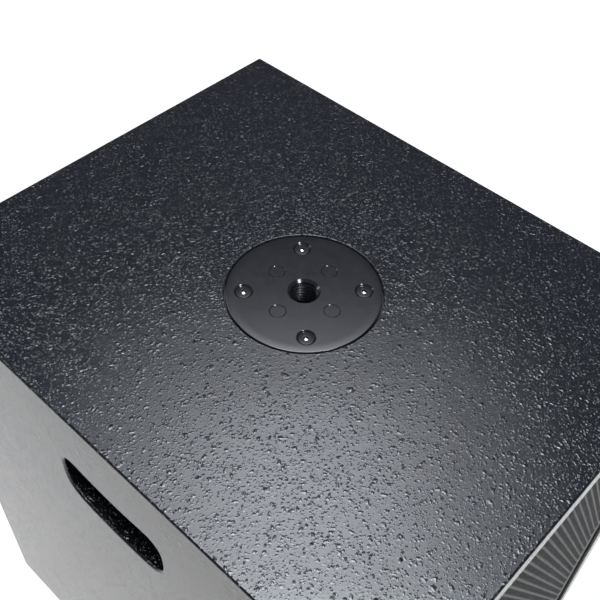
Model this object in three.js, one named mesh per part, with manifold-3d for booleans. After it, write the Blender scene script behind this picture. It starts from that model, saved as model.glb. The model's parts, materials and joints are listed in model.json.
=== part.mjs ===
// Compact active PA subwoofer: a coated plywood cabinet with hand-holds, a 10 inch woofer behind a steel
// grille, two reflex ports, an amplifier on the recessed back and a threaded pole-mount plate on top.
// Millimetres. +Z is up, the grille faces -Y, the amplifier faces +Y, and the origin lies on the floor
// under the middle of the cabinet.
import * as THREE from "three";
import { RoundedBoxGeometry } from "three/addons/geometries/RoundedBoxGeometry.js";
import { mergeVertices } from "three/addons/utils/BufferGeometryUtils.js";
import Module from "manifold-3d";

const wasm = await Module();
wasm.setup();

// ---- Driving dimensions ----

const GAP = 0.3; // play between pieces that meet

const WIDTH = 340; // cabinet along X, over the coat
const DEPTH = 421; // cabinet along Y
const HEIGHT = 440; // cabinet without its feet
const FOOT_HEIGHT = 12;
const EDGE_RADIUS = 2;
const COAT = 0.8; // structure coating
const PLY = 15;
const BAFFLE_PLY = 18;
const FRONT_RECESS = 26; // grille bay in front of the baffle
const REAR_RECESS = 25; // amplifier bay behind the rear panel

const PLATE_RADIUS = 51.2; // pole-mount plate
const PLATE_POCKET_RADIUS = 52.4;
const PLATE_DROP = 0.3; // plate face below the top of the coat
const PLATE_THICKNESS = 5;
const BOSS_RADIUS = 16;
const BOSS_LENGTH = 36; // below the plate
const THREAD_RADIUS = 9.2; // M20 thread
const THREAD_DEPTH = 34;
const THREAD_MOUTH_RADIUS = 10.9;
const PLATE_SCREW_CIRCLE = 39.3; // radius of the screw circle
const MARK_CIRCLE = 24.6; // radius of the circle of casting marks
const MARK_RADIUS = 5.5;
const MARK_DEPTH = 0.3;

const HAND_HOLD_HALF = 47; // half its length along Y
const HAND_HOLD_HEIGHT = 41;
const HAND_HOLD_DROP = 55.6; // its top edge below the cabinet's top, at the middle
const HAND_HOLD_BOW = 228; // radius of its long edges
const HAND_HOLD_CORNER = 17;
const CUP_DEPTH = 36;
const CUP_WALL = 3.5;

const WOOFER_HEIGHT = 272; // axis above the floor
const FLANGE_RADIUS = 131;
const CUTOUT_RADIUS = 115;
const CONE_RADIUS = 97;
const COIL_RADIUS = 25.4;
const WOOFER_SCREW_CIRCLE = 124;

const PORT_SPACING = 170;
const PORT_HEIGHT = 80;
const PORT_RADIUS = 38; // bore
const PORT_WALL = 2.5;
const PORT_FLANGE = 48;
const PORT_LENGTH = 150;

const AMP = { width: 230, height: 250, middle: 240, thickness: 3 };

const ROCKER_TIP = 8; // degrees to either side
const ROCKER_PIVOT = -0.5; // its pivot line from the amplifier plate's face

const FOOT_X = 135;
const FOOT_Y = 172;
const FOOT_RADIUS = 19;

// Sides of turned shapes, by how large and how exposed they are.
const FINE = 40;
const ROUND = 28;
const SMALL = 16;
const TINY = 8;

// ---- Planes and levels worked out from them ----

const FLOOR_OF_BOX = FOOT_HEIGHT;
const TOP = FOOT_HEIGHT + HEIGHT;
const SKIN = COAT + GAP; // from the coated face to the wood
const WOOD = { x: WIDTH / 2 - SKIN, y: DEPTH / 2 - SKIN, low: FLOOR_OF_BOX + SKIN, high: TOP - SKIN };
const INSIDE_X = WOOD.x - PLY;
const INSIDE_LOW = WOOD.low + PLY;
const INSIDE_HIGH = WOOD.high - PLY;
const BAFFLE_FACE = -DEPTH / 2 + FRONT_RECESS;
const REAR_FACE = DEPTH / 2 - REAR_RECESS;
const PLATE_FACE = TOP - PLATE_DROP;
const AMP_BACK = REAR_FACE + GAP; // inner face of the amplifier plate
const AMP_FACE = AMP_BACK + AMP.thickness;

// ---- Materials ----

const finish = (color, roughness, metalness = 0) => ({ color, roughness, metalness });
const COATING = finish(0x1c1d1f, 0.42);
const PLYWOOD = finish(0xb98d5a, 0.75);
const CASTING = finish(0x232426, 0.38, 0.4);
const BLACK_STEEL = finish(0x17181a, 0.45, 0.6);
const ZINC = finish(0xa9adb0, 0.35, 1);
const FERRITE = finish(0x2b2c2e, 0.7);
const PAPER = finish(0x151515, 0.85);
const RUBBER = finish(0x111112, 0.8);
const CLOTH = finish(0x8a6a3a, 0.9);
const PLASTIC = finish(0x141516, 0.5);
const FOAM = finish(0x0e0e0f, 0.95);
const BOARD = finish(0x1d4a2b, 0.55);
const WINDING = finish(0x8a3d1c, 0.4, 0.3);
const WADDING = finish(0xe4e2da, 0.95);
const LENS = finish(0x2fae55, 0.25);
const ALUMINIUM = finish(0x1a1b1c, 0.5, 0.7);

// ---- Solids ----

function solid(geometry) {
  const bare = new THREE.BufferGeometry();
  bare.setAttribute("position", geometry.getAttribute("position"));
  if (geometry.index) bare.setIndex(geometry.index);
  const merged = mergeVertices(bare, 1e-4);
  const vertProperties = merged.attributes.position.array;
  const triVerts = new Uint32Array(merged.index.array);
  const made = new wasm.Manifold(new wasm.Mesh({ numProp: 3, vertProperties, triVerts }));
  if (made.volume() > 0) return made;
  for (let i = 0; i < triVerts.length; i += 3) {
    [triVerts[i + 1], triVerts[i + 2]] = [triVerts[i + 2], triVerts[i + 1]];
  }
  return new wasm.Manifold(new wasm.Mesh({ numProp: 3, vertProperties, triVerts }));
}

function geometryOf(made) {
  const mesh = made.getMesh();
  const geometry = new THREE.BufferGeometry();
  geometry.setAttribute("position", new THREE.BufferAttribute(mesh.vertProperties, 3));
  geometry.setIndex(new THREE.BufferAttribute(mesh.triVerts, 1));
  geometry.computeVertexNormals();
  return geometry;
}

const join = (...parts) => parts.reduce((a, b) => a.add(b));
const cut = (body, ...tools) => tools.reduce((a, b) => a.subtract(b), body);

// A box between pairs of limits along X, Y and Z.
function block([x0, x1], [y0, y1], [z0, z1]) {
  const geometry = new THREE.BoxGeometry(x1 - x0, y1 - y0, z1 - z0);
  return solid(geometry.translate((x0 + x1) / 2, (y0 + y1) / 2, (z0 + z1) / 2));
}

// A box with rounded edges, centred on X and Y.
function roundedBox(width, depth, low, high, radius) {
  const geometry = new RoundedBoxGeometry(width, depth, high - low, 2, radius);
  return solid(geometry.translate(0, 0, (low + high) / 2));
}

// A cone or cylinder along Y, from y0 (radius r0) to y1 (radius r1), about the line through x and z.
function coneY(x, z, y0, y1, r0, r1, sides = SMALL) {
  const geometry = new THREE.CylinderGeometry(r1, r0, y1 - y0, sides);
  return solid(geometry.translate(x, (y0 + y1) / 2, z));
}
const drumY = (x, z, y0, y1, radius, sides) => coneY(x, z, y0, y1, radius, radius, sides);

// The same along Z.
function coneZ(x, y, z0, z1, r0, r1, sides = SMALL) {
  const geometry = new THREE.CylinderGeometry(r1, r0, z1 - z0, sides).rotateX(Math.PI / 2);
  return solid(geometry.translate(x, y, (z0 + z1) / 2));
}
const drumZ = (x, y, z0, z1, radius, sides) => coneZ(x, y, z0, z1, radius, radius, sides);

// A closed profile of [radius, along] points turned about a line along Y.
function turnedY(profile, x, z, sides = ROUND) {
  const points = profile.map(([r, along]) => new THREE.Vector2(r, along));
  return solid(new THREE.LatheGeometry([...points, points[0]], sides).translate(x, 0, z));
}

// The same about a line along Z.
function turnedZ(profile, x, y, sides = ROUND) {
  const points = profile.map(([r, along]) => new THREE.Vector2(r, along));
  const geometry = new THREE.LatheGeometry([...points, points[0]], sides).rotateX(Math.PI / 2);
  return solid(geometry.translate(x, y, 0));
}

// A wavy sheet turned about a line along Y: height(share) gives its middle, from inner to outer radius.
function turnedSheet(inner, outer, thickness, steps, height, x, z) {
  const face = (side) =>
    Array.from({ length: steps + 1 }, (_, i) => {
      const share = i / steps;
      return [inner + (outer - inner) * share, height(share) + (side * thickness) / 2];
    });
  return turnedY([...face(-1), ...face(1).reverse()], x, z);
}

// A sector of a ring about the line along Y at height z: middle and half are angles.
function sectorY(z, y0, y1, inner, outer, middle, half) {
  const shape = new THREE.Shape();
  shape.absarc(0, 0, outer, middle - half, middle + half, false);
  shape.absarc(0, 0, inner, middle + half, middle - half, true);
  const geometry = new THREE.ExtrudeGeometry(shape, {
    depth: y1 - y0,
    bevelEnabled: false,
    curveSegments: 8,
  });
  return solid(geometry.rotateX(-Math.PI / 2).rotateZ(Math.PI).rotateX(Math.PI).translate(0, y0, z));
}

const group = new THREE.Group();

function node(name, made, look) {
  const mesh = new THREE.Mesh(geometryOf(made), new THREE.MeshStandardMaterial(look));
  mesh.name = name;
  group.add(mesh);
  return mesh;
}

// Calls make(x, y, number) at four points on a circle, at 45 degrees to the axes.
function atDiagonals(radius, make) {
  for (let i = 0; i < 4; i += 1) {
    const angle = Math.PI / 4 + (i * Math.PI) / 2;
    make(radius * Math.cos(angle), radius * Math.sin(angle), i + 1);
  }
}

// ---- Hand-holds ----

// The opening's outline in the YZ plane: two long edges bowed downwards, with rounded corners.
function handHoldOutline(grow = 0) {
  const half = HAND_HOLD_HALF + grow;
  const top = TOP - HAND_HOLD_DROP + grow;
  const bottom = TOP - HAND_HOLD_DROP - HAND_HOLD_HEIGHT - grow;
  const rise = (y) => (y * y) / (2 * HAND_HOLD_BOW);
  const corner = HAND_HOLD_CORNER + grow;
  const inner = half - corner;
  const steps = 8;
  const shape = new THREE.Shape();
  shape.moveTo(-inner, bottom + rise(inner));
  for (let i = 1; i <= steps; i += 1) {
    const y = -inner + (2 * inner * i) / steps;
    shape.lineTo(y, bottom + rise(y));
  }
  shape.quadraticCurveTo(half, bottom + rise(half), half, bottom + rise(half) + corner);
  shape.lineTo(half, top + rise(half) - corner);
  shape.quadraticCurveTo(half, top + rise(half), inner, top + rise(inner));
  for (let i = 1; i <= steps; i += 1) {
    const y = inner - (2 * inner * i) / steps;
    shape.lineTo(y, top + rise(y));
  }
  shape.quadraticCurveTo(-half, top + rise(half), -half, top + rise(half) - corner);
  shape.lineTo(-half, bottom + rise(half) + corner);
  shape.quadraticCurveTo(-half, bottom + rise(half), -inner, bottom + rise(inner));
  return shape;
}

// That outline as a prism along X.
function handHoldCut(x0, x1, grow) {
  const geometry = new THREE.ExtrudeGeometry(handHoldOutline(grow), {
    depth: x1 - x0,
    bevelEnabled: false,
    curveSegments: 4,
  });
  // The outline's own x and y become Y and Z.
  geometry.applyMatrix4(new THREE.Matrix4().set(0, 0, 1, x0, 1, 0, 0, 0, 0, 1, 0, 0, 0, 0, 0, 1));
  return solid(geometry);
}

// ---- Cabinet ----

const woodBlank = roundedBox(2 * WOOD.x, 2 * WOOD.y, WOOD.low, WOOD.high, EDGE_RADIUS - SKIN);
const panel = (x, y, z) => woodBlank.intersect(block(x, y, z));

function makeCabinet() {
  const allX = [-WOOD.x - 1, WOOD.x + 1];
  const allY = [-WOOD.y - 1, WOOD.y + 1];
  const top = cut(
    panel(allX, allY, [INSIDE_HIGH, WOOD.high + 1]),
    drumZ(0, 0, PLATE_FACE - PLATE_THICKNESS - GAP, TOP, PLATE_POCKET_RADIUS, FINE),
    drumZ(0, 0, INSIDE_HIGH - 1, TOP, BOSS_RADIUS + 1, SMALL),
    ...plateScrewPlaces().map(([x, y]) => drumZ(x, y, INSIDE_HIGH - 1, TOP, 3.4, TINY)),
  );
  node("top_panel", top, PLYWOOD);

  const footHoles = footPlaces().map(([x, y]) => drumZ(x, y, WOOD.low - 1, INSIDE_LOW + 1, 3.4, TINY));
  node("bottom_panel", cut(panel(allX, allY, [WOOD.low - 1, INSIDE_LOW]), ...footHoles), PLYWOOD);

  const sideZ = [INSIDE_LOW + GAP, INSIDE_HIGH - GAP];
  const left = panel([-WOOD.x - 1, -INSIDE_X], allY, sideZ);
  const right = panel([INSIDE_X, WOOD.x + 1], allY, sideZ);
  node("left_panel", cut(left, handHoldCut(-WOOD.x - 2, -INSIDE_X + 2, 0)), PLYWOOD);
  node("right_panel", cut(right, handHoldCut(INSIDE_X - 2, WOOD.x + 2, 0)), PLYWOOD);

  const innerX = [-INSIDE_X + GAP, INSIDE_X - GAP];
  const rear = block(innerX, [REAR_FACE - PLY, REAR_FACE], sideZ);
  const ampOpening = block([-100, 100], [REAR_FACE - PLY - 1, REAR_FACE + 1], ampLimitsZ(15));
  const ampHoles = ampScrewPlaces().map(([x, z]) =>
    drumY(x, z, REAR_FACE - PLY - 1, REAR_FACE + 1, 2.4, TINY),
  );
  node("rear_panel", cut(rear, ampOpening, ...ampHoles), PLYWOOD);

  const baffle = block(innerX, [BAFFLE_FACE, BAFFLE_FACE + BAFFLE_PLY], sideZ);
  const through = [BAFFLE_FACE - 1, BAFFLE_FACE + BAFFLE_PLY + 1];
  const baffleCuts = [
    drumY(0, WOOFER_HEIGHT, ...through, CUTOUT_RADIUS, ROUND),
    ...portPlaces().map((x) => drumY(x, PORT_HEIGHT, ...through, PORT_RADIUS + PORT_WALL + 0.4, ROUND)),
    ...grilleScrewPlaces().map(([x, z]) => drumY(x, z, ...through, 2.6, TINY)),
  ];
  atDiagonals(WOOFER_SCREW_CIRCLE, (x, z) =>
    baffleCuts.push(drumY(x, WOOFER_HEIGHT + z, ...through, 2.9, TINY)),
  );
  node("front_baffle", cut(baffle, ...baffleCuts), PLYWOOD);

  const brace = block(innerX, [80, 95], sideZ);
  node(
    "window_brace",
    cut(brace, block([-105, 105], [79, 96], [75, 215]), block([-105, 105], [79, 96], [250, 395])),
    PLYWOOD,
  );

  const coat = cut(
    roundedBox(WIDTH, DEPTH, FLOOR_OF_BOX, TOP, EDGE_RADIUS),
    roundedBox(
      WIDTH - 2 * COAT,
      DEPTH - 2 * COAT,
      FLOOR_OF_BOX + COAT,
      TOP - COAT,
      EDGE_RADIUS - COAT,
    ),
    drumZ(0, 0, TOP - 3, TOP + 1, PLATE_POCKET_RADIUS, FINE),
    handHoldCut(-WIDTH / 2 - 1, -WIDTH / 2 + 3, 0),
    handHoldCut(WIDTH / 2 - 3, WIDTH / 2 + 1, 0),
    block([-INSIDE_X, INSIDE_X], [-DEPTH / 2 - 1, -DEPTH / 2 + 5], [INSIDE_LOW, INSIDE_HIGH]),
    block([-INSIDE_X, INSIDE_X], [DEPTH / 2 - 5, DEPTH / 2 + 1], [INSIDE_LOW, INSIDE_HIGH]),
    ...footPlaces().map(([x, y]) => drumZ(x, y, FLOOR_OF_BOX - 1, FLOOR_OF_BOX + 3, 3.4, TINY)),
  );
  node("structure_coat", coat, COATING);

  for (const [name, side] of [["left", -1], ["right", 1]]) makeCup(name, side);

  const wadding = cut(
    block([-INSIDE_X + 2, INSIDE_X - 2], [100, 118], [INSIDE_LOW + 2, INSIDE_HIGH - 2]),
    block([-112, 112], [99, 119], [110, 372]),
  );
  node("damping_wadding", wadding, WADDING);
}

// A shell on the inside of a side panel that closes the hand-hold and gives the fingers room to curl up.
function makeCup(name, side) {
  const low = TOP - HAND_HOLD_DROP - HAND_HOLD_HEIGHT - 12;
  const high = TOP - HAND_HOLD_DROP + 16;
  const half = HAND_HOLD_HALF + 6;
  const inner = INSIDE_X - GAP;
  const bottom = inner - CUP_DEPTH;
  const span = (a, b) => (side > 0 ? [a, b] : [-b, -a]);
  const across = (more) => [-half - more, half + more];
  const shell = block(span(bottom, inner), across(CUP_WALL), [low - CUP_WALL, high + CUP_WALL]);
  const flange = block(span(inner - 4, inner), across(14), [low - 12, high + 10]);
  const hollow = block(span(bottom + CUP_WALL, inner + 1), across(0), [low, high]);
  node(`hand_hold_cup_${name}`, cut(join(shell, flange), hollow), PLASTIC);
}

// ---- Pole mount ----

function plateScrewPlaces() {
  const places = [];
  atDiagonals(PLATE_SCREW_CIRCLE, (x, y) => places.push([x, y]));
  return places;
}

function makePoleMount() {
  const back = PLATE_FACE - PLATE_THICKNESS;
  const bossEnd = back - BOSS_LENGTH;
  const rim = 0.9;
  const mouth = THREAD_MOUTH_RADIUS - THREAD_RADIUS;
  const casting = turnedZ(
    [
      [0, bossEnd],
      [BOSS_RADIUS - 1, bossEnd],
      [BOSS_RADIUS, bossEnd + 1],
      [BOSS_RADIUS, back],
      [PLATE_RADIUS, back],
      [PLATE_RADIUS, PLATE_FACE - rim],
      [PLATE_RADIUS - rim, PLATE_FACE],
      [THREAD_MOUTH_RADIUS, PLATE_FACE],
      [THREAD_RADIUS, PLATE_FACE - mouth],
      [THREAD_RADIUS, PLATE_FACE - THREAD_DEPTH],
      [0, PLATE_FACE - THREAD_DEPTH - 3],
    ],
    0,
    0,
    FINE,
  );
  const recesses = plateScrewPlaces().flatMap(([x, y]) => [
    drumZ(x, y, back - 1, PLATE_FACE + 1, 3.3),
    coneZ(x, y, PLATE_FACE - 3.4, PLATE_FACE, 3.2, 6.4),
    drumZ(x, y, PLATE_FACE, PLATE_FACE + 1, 6.4),
  ]);
  const marks = [0, 1, 2, 3].map((i) => {
    const angle = (i * Math.PI) / 2;
    const [x, y] = [MARK_CIRCLE * Math.cos(angle), MARK_CIRCLE * Math.sin(angle)];
    return drumZ(x, y, PLATE_FACE - MARK_DEPTH, PLATE_FACE + 1, MARK_RADIUS);
  });
  node("pole_mount_plate", cut(casting, ...recesses, ...marks), CASTING);

  atDiagonals(PLATE_SCREW_CIRCLE, (x, y, number) => {
    const headTop = PLATE_FACE - 0.9;
    const shank = join(
      coneZ(x, y, headTop - 2.5, headTop, 2.6, 5.1),
      drumZ(x, y, headTop - 24, headTop - 2.4, 2.6, TINY),
    );
    const socket = drumZ(x, y, headTop - 1.8, headTop + 1, 1.9, 6);
    node(`plate_screw_${number}`, cut(shank, socket), BLACK_STEEL);
  });
}

// ---- Woofer ----

function makeWoofer() {
  const z = WOOFER_HEIGHT;
  const face = BAFFLE_FACE - GAP; // back of the flange
  const rim = face - 5;
  const at = (offset) => face + offset;
  const basket = turnedY(
    [
      [FLANGE_RADIUS, face],
      [FLANGE_RADIUS, rim],
      [120, rim],
      [119, at(-1.6)],
      [CUTOUT_RADIUS - 4, at(-1.6)],
      [CUTOUT_RADIUS - 5, at(6)],
      [78, at(54)],
      [76, at(67)],
      [32, at(67)],
      [32, at(69)],
      [78, at(69)],
      [80, at(54.6)],
      [CUTOUT_RADIUS - 2.6, at(6.6)],
      [CUTOUT_RADIUS - 1.6, face],
    ],
    0,
    z,
  );
  const windows = [0, 1, 2, 3, 4, 5].map((i) =>
    sectorY(z, at(13), at(49), 70, 125, (i * Math.PI) / 3, 0.36),
  );
  const holes = [];
  atDiagonals(WOOFER_SCREW_CIRCLE, (x, dz) =>
    holes.push(drumY(x, z + dz, rim - 1, face + 1, 2.8, TINY)),
  );
  node("woofer_basket", cut(basket, ...windows, ...holes), BLACK_STEEL);

  const roll = (share) => at(-4.4) - 8.5 * Math.sqrt(Math.max(0, 1 - (2 * share - 1) ** 2));
  const surround = turnedSheet(CONE_RADIUS + GAP, CUTOUT_RADIUS + 2.5, 1, 6, roll, 0, z);
  node("woofer_surround", surround, RUBBER);

  const coneAt = (share) => at(48) - 51 * share ** 1.15;
  const cone = turnedSheet(COIL_RADIUS + 1.6, CONE_RADIUS, 1, 4, coneAt, 0, z);
  node("woofer_cone", cone, PAPER);

  const capRadius = 36;
  const capSeat = coneAt((capRadius - COIL_RADIUS) / (CONE_RADIUS - COIL_RADIUS)) - 0.6;
  const dome = (share) => capSeat - 11 * (1 - share ** 2);
  const cap = turnedY(
    [
      ...Array.from({ length: 5 }, (_, i) => [(capRadius * i) / 4, dome(i / 4) - 1]),
      ...Array.from({ length: 5 }, (_, i) => [(capRadius * (4 - i)) / 4, dome((4 - i) / 4)]),
    ],
    0,
    z,
  );
  node("woofer_dust_cap", cap, PAPER);

  const coilEnd = at(90);
  const former = turnedY(
    [
      [COIL_RADIUS, at(44)],
      [COIL_RADIUS + 0.8, at(44)],
      [COIL_RADIUS + 0.8, coilEnd],
      [COIL_RADIUS, coilEnd],
    ],
    0,
    z,
  );
  node("voice_coil_former", former, CLOTH);

  const ripple = (share) => at(59) + 1.8 * Math.sin(share * Math.PI * 4);
  const spider = turnedSheet(COIL_RADIUS + 1.2, 74.5, 0.7, 8, ripple, 0, z);
  node("woofer_spider", spider, CLOTH);

  const ring = (inner, outer, from, to) =>
    turnedY([[inner, from], [outer, from], [outer, to], [inner, to]], 0, z);
  node("woofer_top_plate", ring(27.6, 62, at(69.3), at(77)), ZINC);
  node("woofer_magnet", ring(32, 70, at(77.3), at(98)), FERRITE);
  const yoke = turnedY(
    [
      [8, at(69.3)],
      [23.8, at(69.3)],
      [23.8, at(98.3)],
      [62, at(98.3)],
      [62, at(105)],
      [60, at(107)],
      [8, at(107)],
    ],
    0,
    z,
  );
  node("woofer_yoke", yoke, ZINC);

  atDiagonals(WOOFER_SCREW_CIRCLE, (x, dz, number) => {
    const head = coneY(x, z + dz, rim - 3.1, rim - GAP, 3.6, 5);
    const socket = drumY(x, z + dz, rim - 4, rim - 1.6, 2.2, 6);
    const shank = drumY(x, z + dz, rim - GAP - 0.1, face + 20, 2.3, TINY);
    node(`woofer_screw_${number}`, cut(join(head, shank), socket), BLACK_STEEL);
  });
}

// ---- Reflex ports ----

function portPlaces() {
  return [-PORT_SPACING / 2, PORT_SPACING / 2];
}

function makePorts() {
  const face = BAFFLE_FACE - GAP;
  const flare = 8;
  const arc = Array.from({ length: 4 }, (_, i) => {
    const angle = (i * Math.PI) / 6;
    return [PORT_RADIUS + flare * (1 - Math.cos(angle)), face + 5 - flare * Math.sin(angle)];
  });
  portPlaces().forEach((x, i) => {
    const tube = turnedY(
      [
        [PORT_RADIUS, face + PORT_LENGTH],
        ...arc,
        [PORT_FLANGE, face - 1.5],
        [PORT_FLANGE, face],
        [PORT_RADIUS + PORT_WALL, face],
        [PORT_RADIUS + PORT_WALL, face + PORT_LENGTH],
      ],
      x,
      PORT_HEIGHT,
    );
    node(i ? "port_tube_right" : "port_tube_left", tube, PLASTIC);
  });
}

// ---- Grille ----

const GRILLE = {
  x: INSIDE_X - 1.5,
  low: INSIDE_LOW + 1.5,
  high: INSIDE_HIGH - 1.5,
  face: -DEPTH / 2 + 3,
  sheet: 1.5,
  rim: 14,
};

function grilleScrewPlaces() {
  const [x, inset] = [GRILLE.x - 11, 11];
  const heights = [GRILLE.low + inset, GRILLE.high - inset];
  return [-x, x].flatMap((px) => heights.map((pz) => [px, pz]));
}

function makeGrille() {
  const { x, low, high, face, sheet, rim } = GRILLE;
  const tray = cut(
    block([-x, x], [face, face + rim], [low, high]),
    block([-x + sheet, x - sheet], [face + sheet, face + rim + 1], [low + sheet, high - sheet]),
    ...grilleScrewPlaces().map(([px, pz]) => drumY(px, pz, face - 1, face + 3, 2.6, TINY)),
  );
  node("front_grille", tray, BLACK_STEEL);

  const margin = sheet + 1;
  const pad = [face + sheet + GAP, face + sheet + 5];
  const foam = cut(
    block([-x + margin, x - margin], pad, [low + margin, high - margin]),
    ...grilleScrewPlaces().map(([px, pz]) => drumY(px, pz, face, face + 9, 3, TINY)),
  );
  node("grille_foam", foam, FOAM);

  grilleScrewPlaces().forEach(([px, pz], i) => {
    const head = coneY(px, pz, face - 2.6, face - GAP, 3.6, 4.8);
    const socket = drumY(px, pz, face - 3, face - 1.3, 1.8, 6);
    const shank = drumY(px, pz, face - GAP - 0.1, BAFFLE_FACE + 12, 2.1, TINY);
    node(`grille_screw_${i + 1}`, cut(join(head, shank), socket), BLACK_STEEL);
  });
}

// ---- Amplifier ----

const KNOB_PLACES = { gain_knob: [-36, 334], crossover_knob: [-82, 334] };
const BUTTON_PLACE = [-36, 292];
const LED_PLACE = [-82, 292];
const XLR = { input: [-36, 242], output: [-82, 242] };
const ROCKER_PLACE = [-59, 194];
const INLET_PLACE = [-59, 147];

function ampLimitsZ(inset = 0) {
  return [AMP.middle - AMP.height / 2 + inset, AMP.middle + AMP.height / 2 - inset];
}

function ampScrewPlaces() {
  const [x, z] = [AMP.width / 2 - 7, AMP.height / 2 - 7];
  return [[-x, -z], [x, -z], [-x, z], [x, z]].map(([px, pz]) => [px, AMP.middle + pz]);
}

// A rectangular window through the amplifier plate.
function plateWindow([x, z], halfWidth, halfHeight) {
  const through = [AMP_BACK - 1, AMP_FACE + 1];
  return block([x - halfWidth, x + halfWidth], through, [z - halfHeight, z + halfHeight]);
}

function makeAmplifier() {
  const through = [AMP_BACK - 1, AMP_FACE + 1];
  const openings = [
    ...Object.values(KNOB_PLACES).map(([x, z]) => drumY(x, z, ...through, 3.6)),
    drumY(...BUTTON_PLACE, ...through, 4.4),
    drumY(...LED_PLACE, ...through, 2.8, TINY),
    ...Object.values(XLR).map(([x, z]) => drumY(x, z, ...through, 12.3, ROUND)),
    latchSlot(through, 0.4),
    plateWindow(ROCKER_PLACE, 13.3, 10.3),
    plateWindow(INLET_PLACE, 14.3, 10.8),
    ...ampScrewPlaces().map(([x, z]) => drumY(x, z, ...through, 2.4, TINY)),
  ];
  const half = AMP.width / 2;
  const sheet = block([-half, half], [AMP_BACK, AMP_FACE], ampLimitsZ());
  node("amp_plate", cut(sheet, ...openings), BLACK_STEEL);

  ampScrewPlaces().forEach(([x, z], i) => {
    const head = coneY(x, z, AMP_FACE + GAP, AMP_FACE + 2.6, 4.4, 3.2);
    const socket = drumY(x, z, AMP_FACE + 1.2, AMP_FACE + 3, 1.8, 6);
    const shank = drumY(x, z, AMP_FACE - 14, AMP_FACE + GAP + 0.1, 2, TINY);
    node(`amp_screw_${i + 1}`, cut(join(head, shank), socket), BLACK_STEEL);
  });

  makeHeatSink();
  makeControls();
  makeSockets();
  makeElectronics();
}

function makeHeatSink() {
  const base = AMP_FACE + GAP;
  const x = [4, 100];
  const z = [138, 342];
  const fins = 9;
  const fin = 2.4;
  const sink = [block(x, [base, base + 4], z)];
  for (let i = 0; i < fins; i += 1) {
    const left = x[0] + ((x[1] - x[0] - fin) * i) / (fins - 1);
    sink.push(block([left, left + fin], [base + 3, base + 17], z));
  }
  node("heat_sink", join(...sink), ALUMINIUM);
}

function makeControls() {
  const face = AMP_FACE;
  const boardBack = AMP_BACK - 12;
  for (const [name, [x, z]] of Object.entries(KNOB_PLACES)) {
    const grip = turnedY(
      [
        [0, face + 0.8],
        [9, face + 0.8],
        [9, face + 3],
        [7.6, face + 4],
        [7, face + 14],
        [6, face + 15],
        [0, face + 15],
      ],
      x,
      z,
      SMALL,
    );
    const shaft = drumY(x, z, boardBack + 6, face + 1, 3);
    const pointer = block([x - 0.6, x + 0.6], [face + 3, face + 15.4], [z + 3.5, z + 8.6]);
    node(name, join(grip, shaft, pointer), PLASTIC);
  }

  const button = join(
    coneY(...BUTTON_PLACE, face - 2, face + 4.6, 4, 3.8),
    drumY(...BUTTON_PLACE, AMP_BACK - 6, face - 1, 2.5, TINY),
  );
  node("polarity_button", button, PLASTIC);

  const lens = join(
    drumY(...LED_PLACE, boardBack + 1.9, face + 0.6, 2.4),
    coneY(...LED_PLACE, face + 0.5, face + 1.6, 2.4, 1.2),
  );
  node("status_light", lens, LENS);

  // Rocker switch: a framed well with a rocker that tips about its long middle line.
  const [rx, rz] = ROCKER_PLACE;
  const frame = cut(
    join(
      block([rx - 16, rx + 16], [face + GAP, face + 2.2], [rz - 13, rz + 13]),
      block([rx - 13, rx + 13], [face - 17, face + 1], [rz - 10, rz + 10]),
    ),
    block([rx - 11, rx + 11], [face - 10, face + 3], [rz - 8.5, rz + 8.5]),
  );
  node("rocker_frame", frame, PLASTIC);

  const profile = new THREE.Shape();
  profile.moveTo(-7.6, 3.6);
  profile.lineTo(0, 1.6);
  profile.lineTo(7.6, 3.6);
  profile.lineTo(6.6, -3);
  profile.lineTo(-6.6, -3);
  profile.closePath();
  const rocker = new THREE.ExtrudeGeometry(profile, { depth: 20, bevelEnabled: false });
  // The profile's own x runs down Z and its y along Y; the rocker rests tipped to its off side.
  rocker.applyMatrix4(new THREE.Matrix4().set(0, 0, 1, -10, 0, 1, 0, 0, -1, 0, 0, 0, 0, 0, 0, 1));
  rocker.rotateX(THREE.MathUtils.degToRad(ROCKER_TIP)).translate(rx, face + ROCKER_PIVOT, rz);
  node("power_rocker", solid(rocker), PLASTIC);
}

// The slot above the female socket that its latch slides in.
function latchSlot(y, grow) {
  const [x, z] = XLR.input;
  return block([x - 4.4 - grow, x + 4.4 + grow], y, [z + 9.9 - grow, z + 13.7 + grow]);
}

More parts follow.
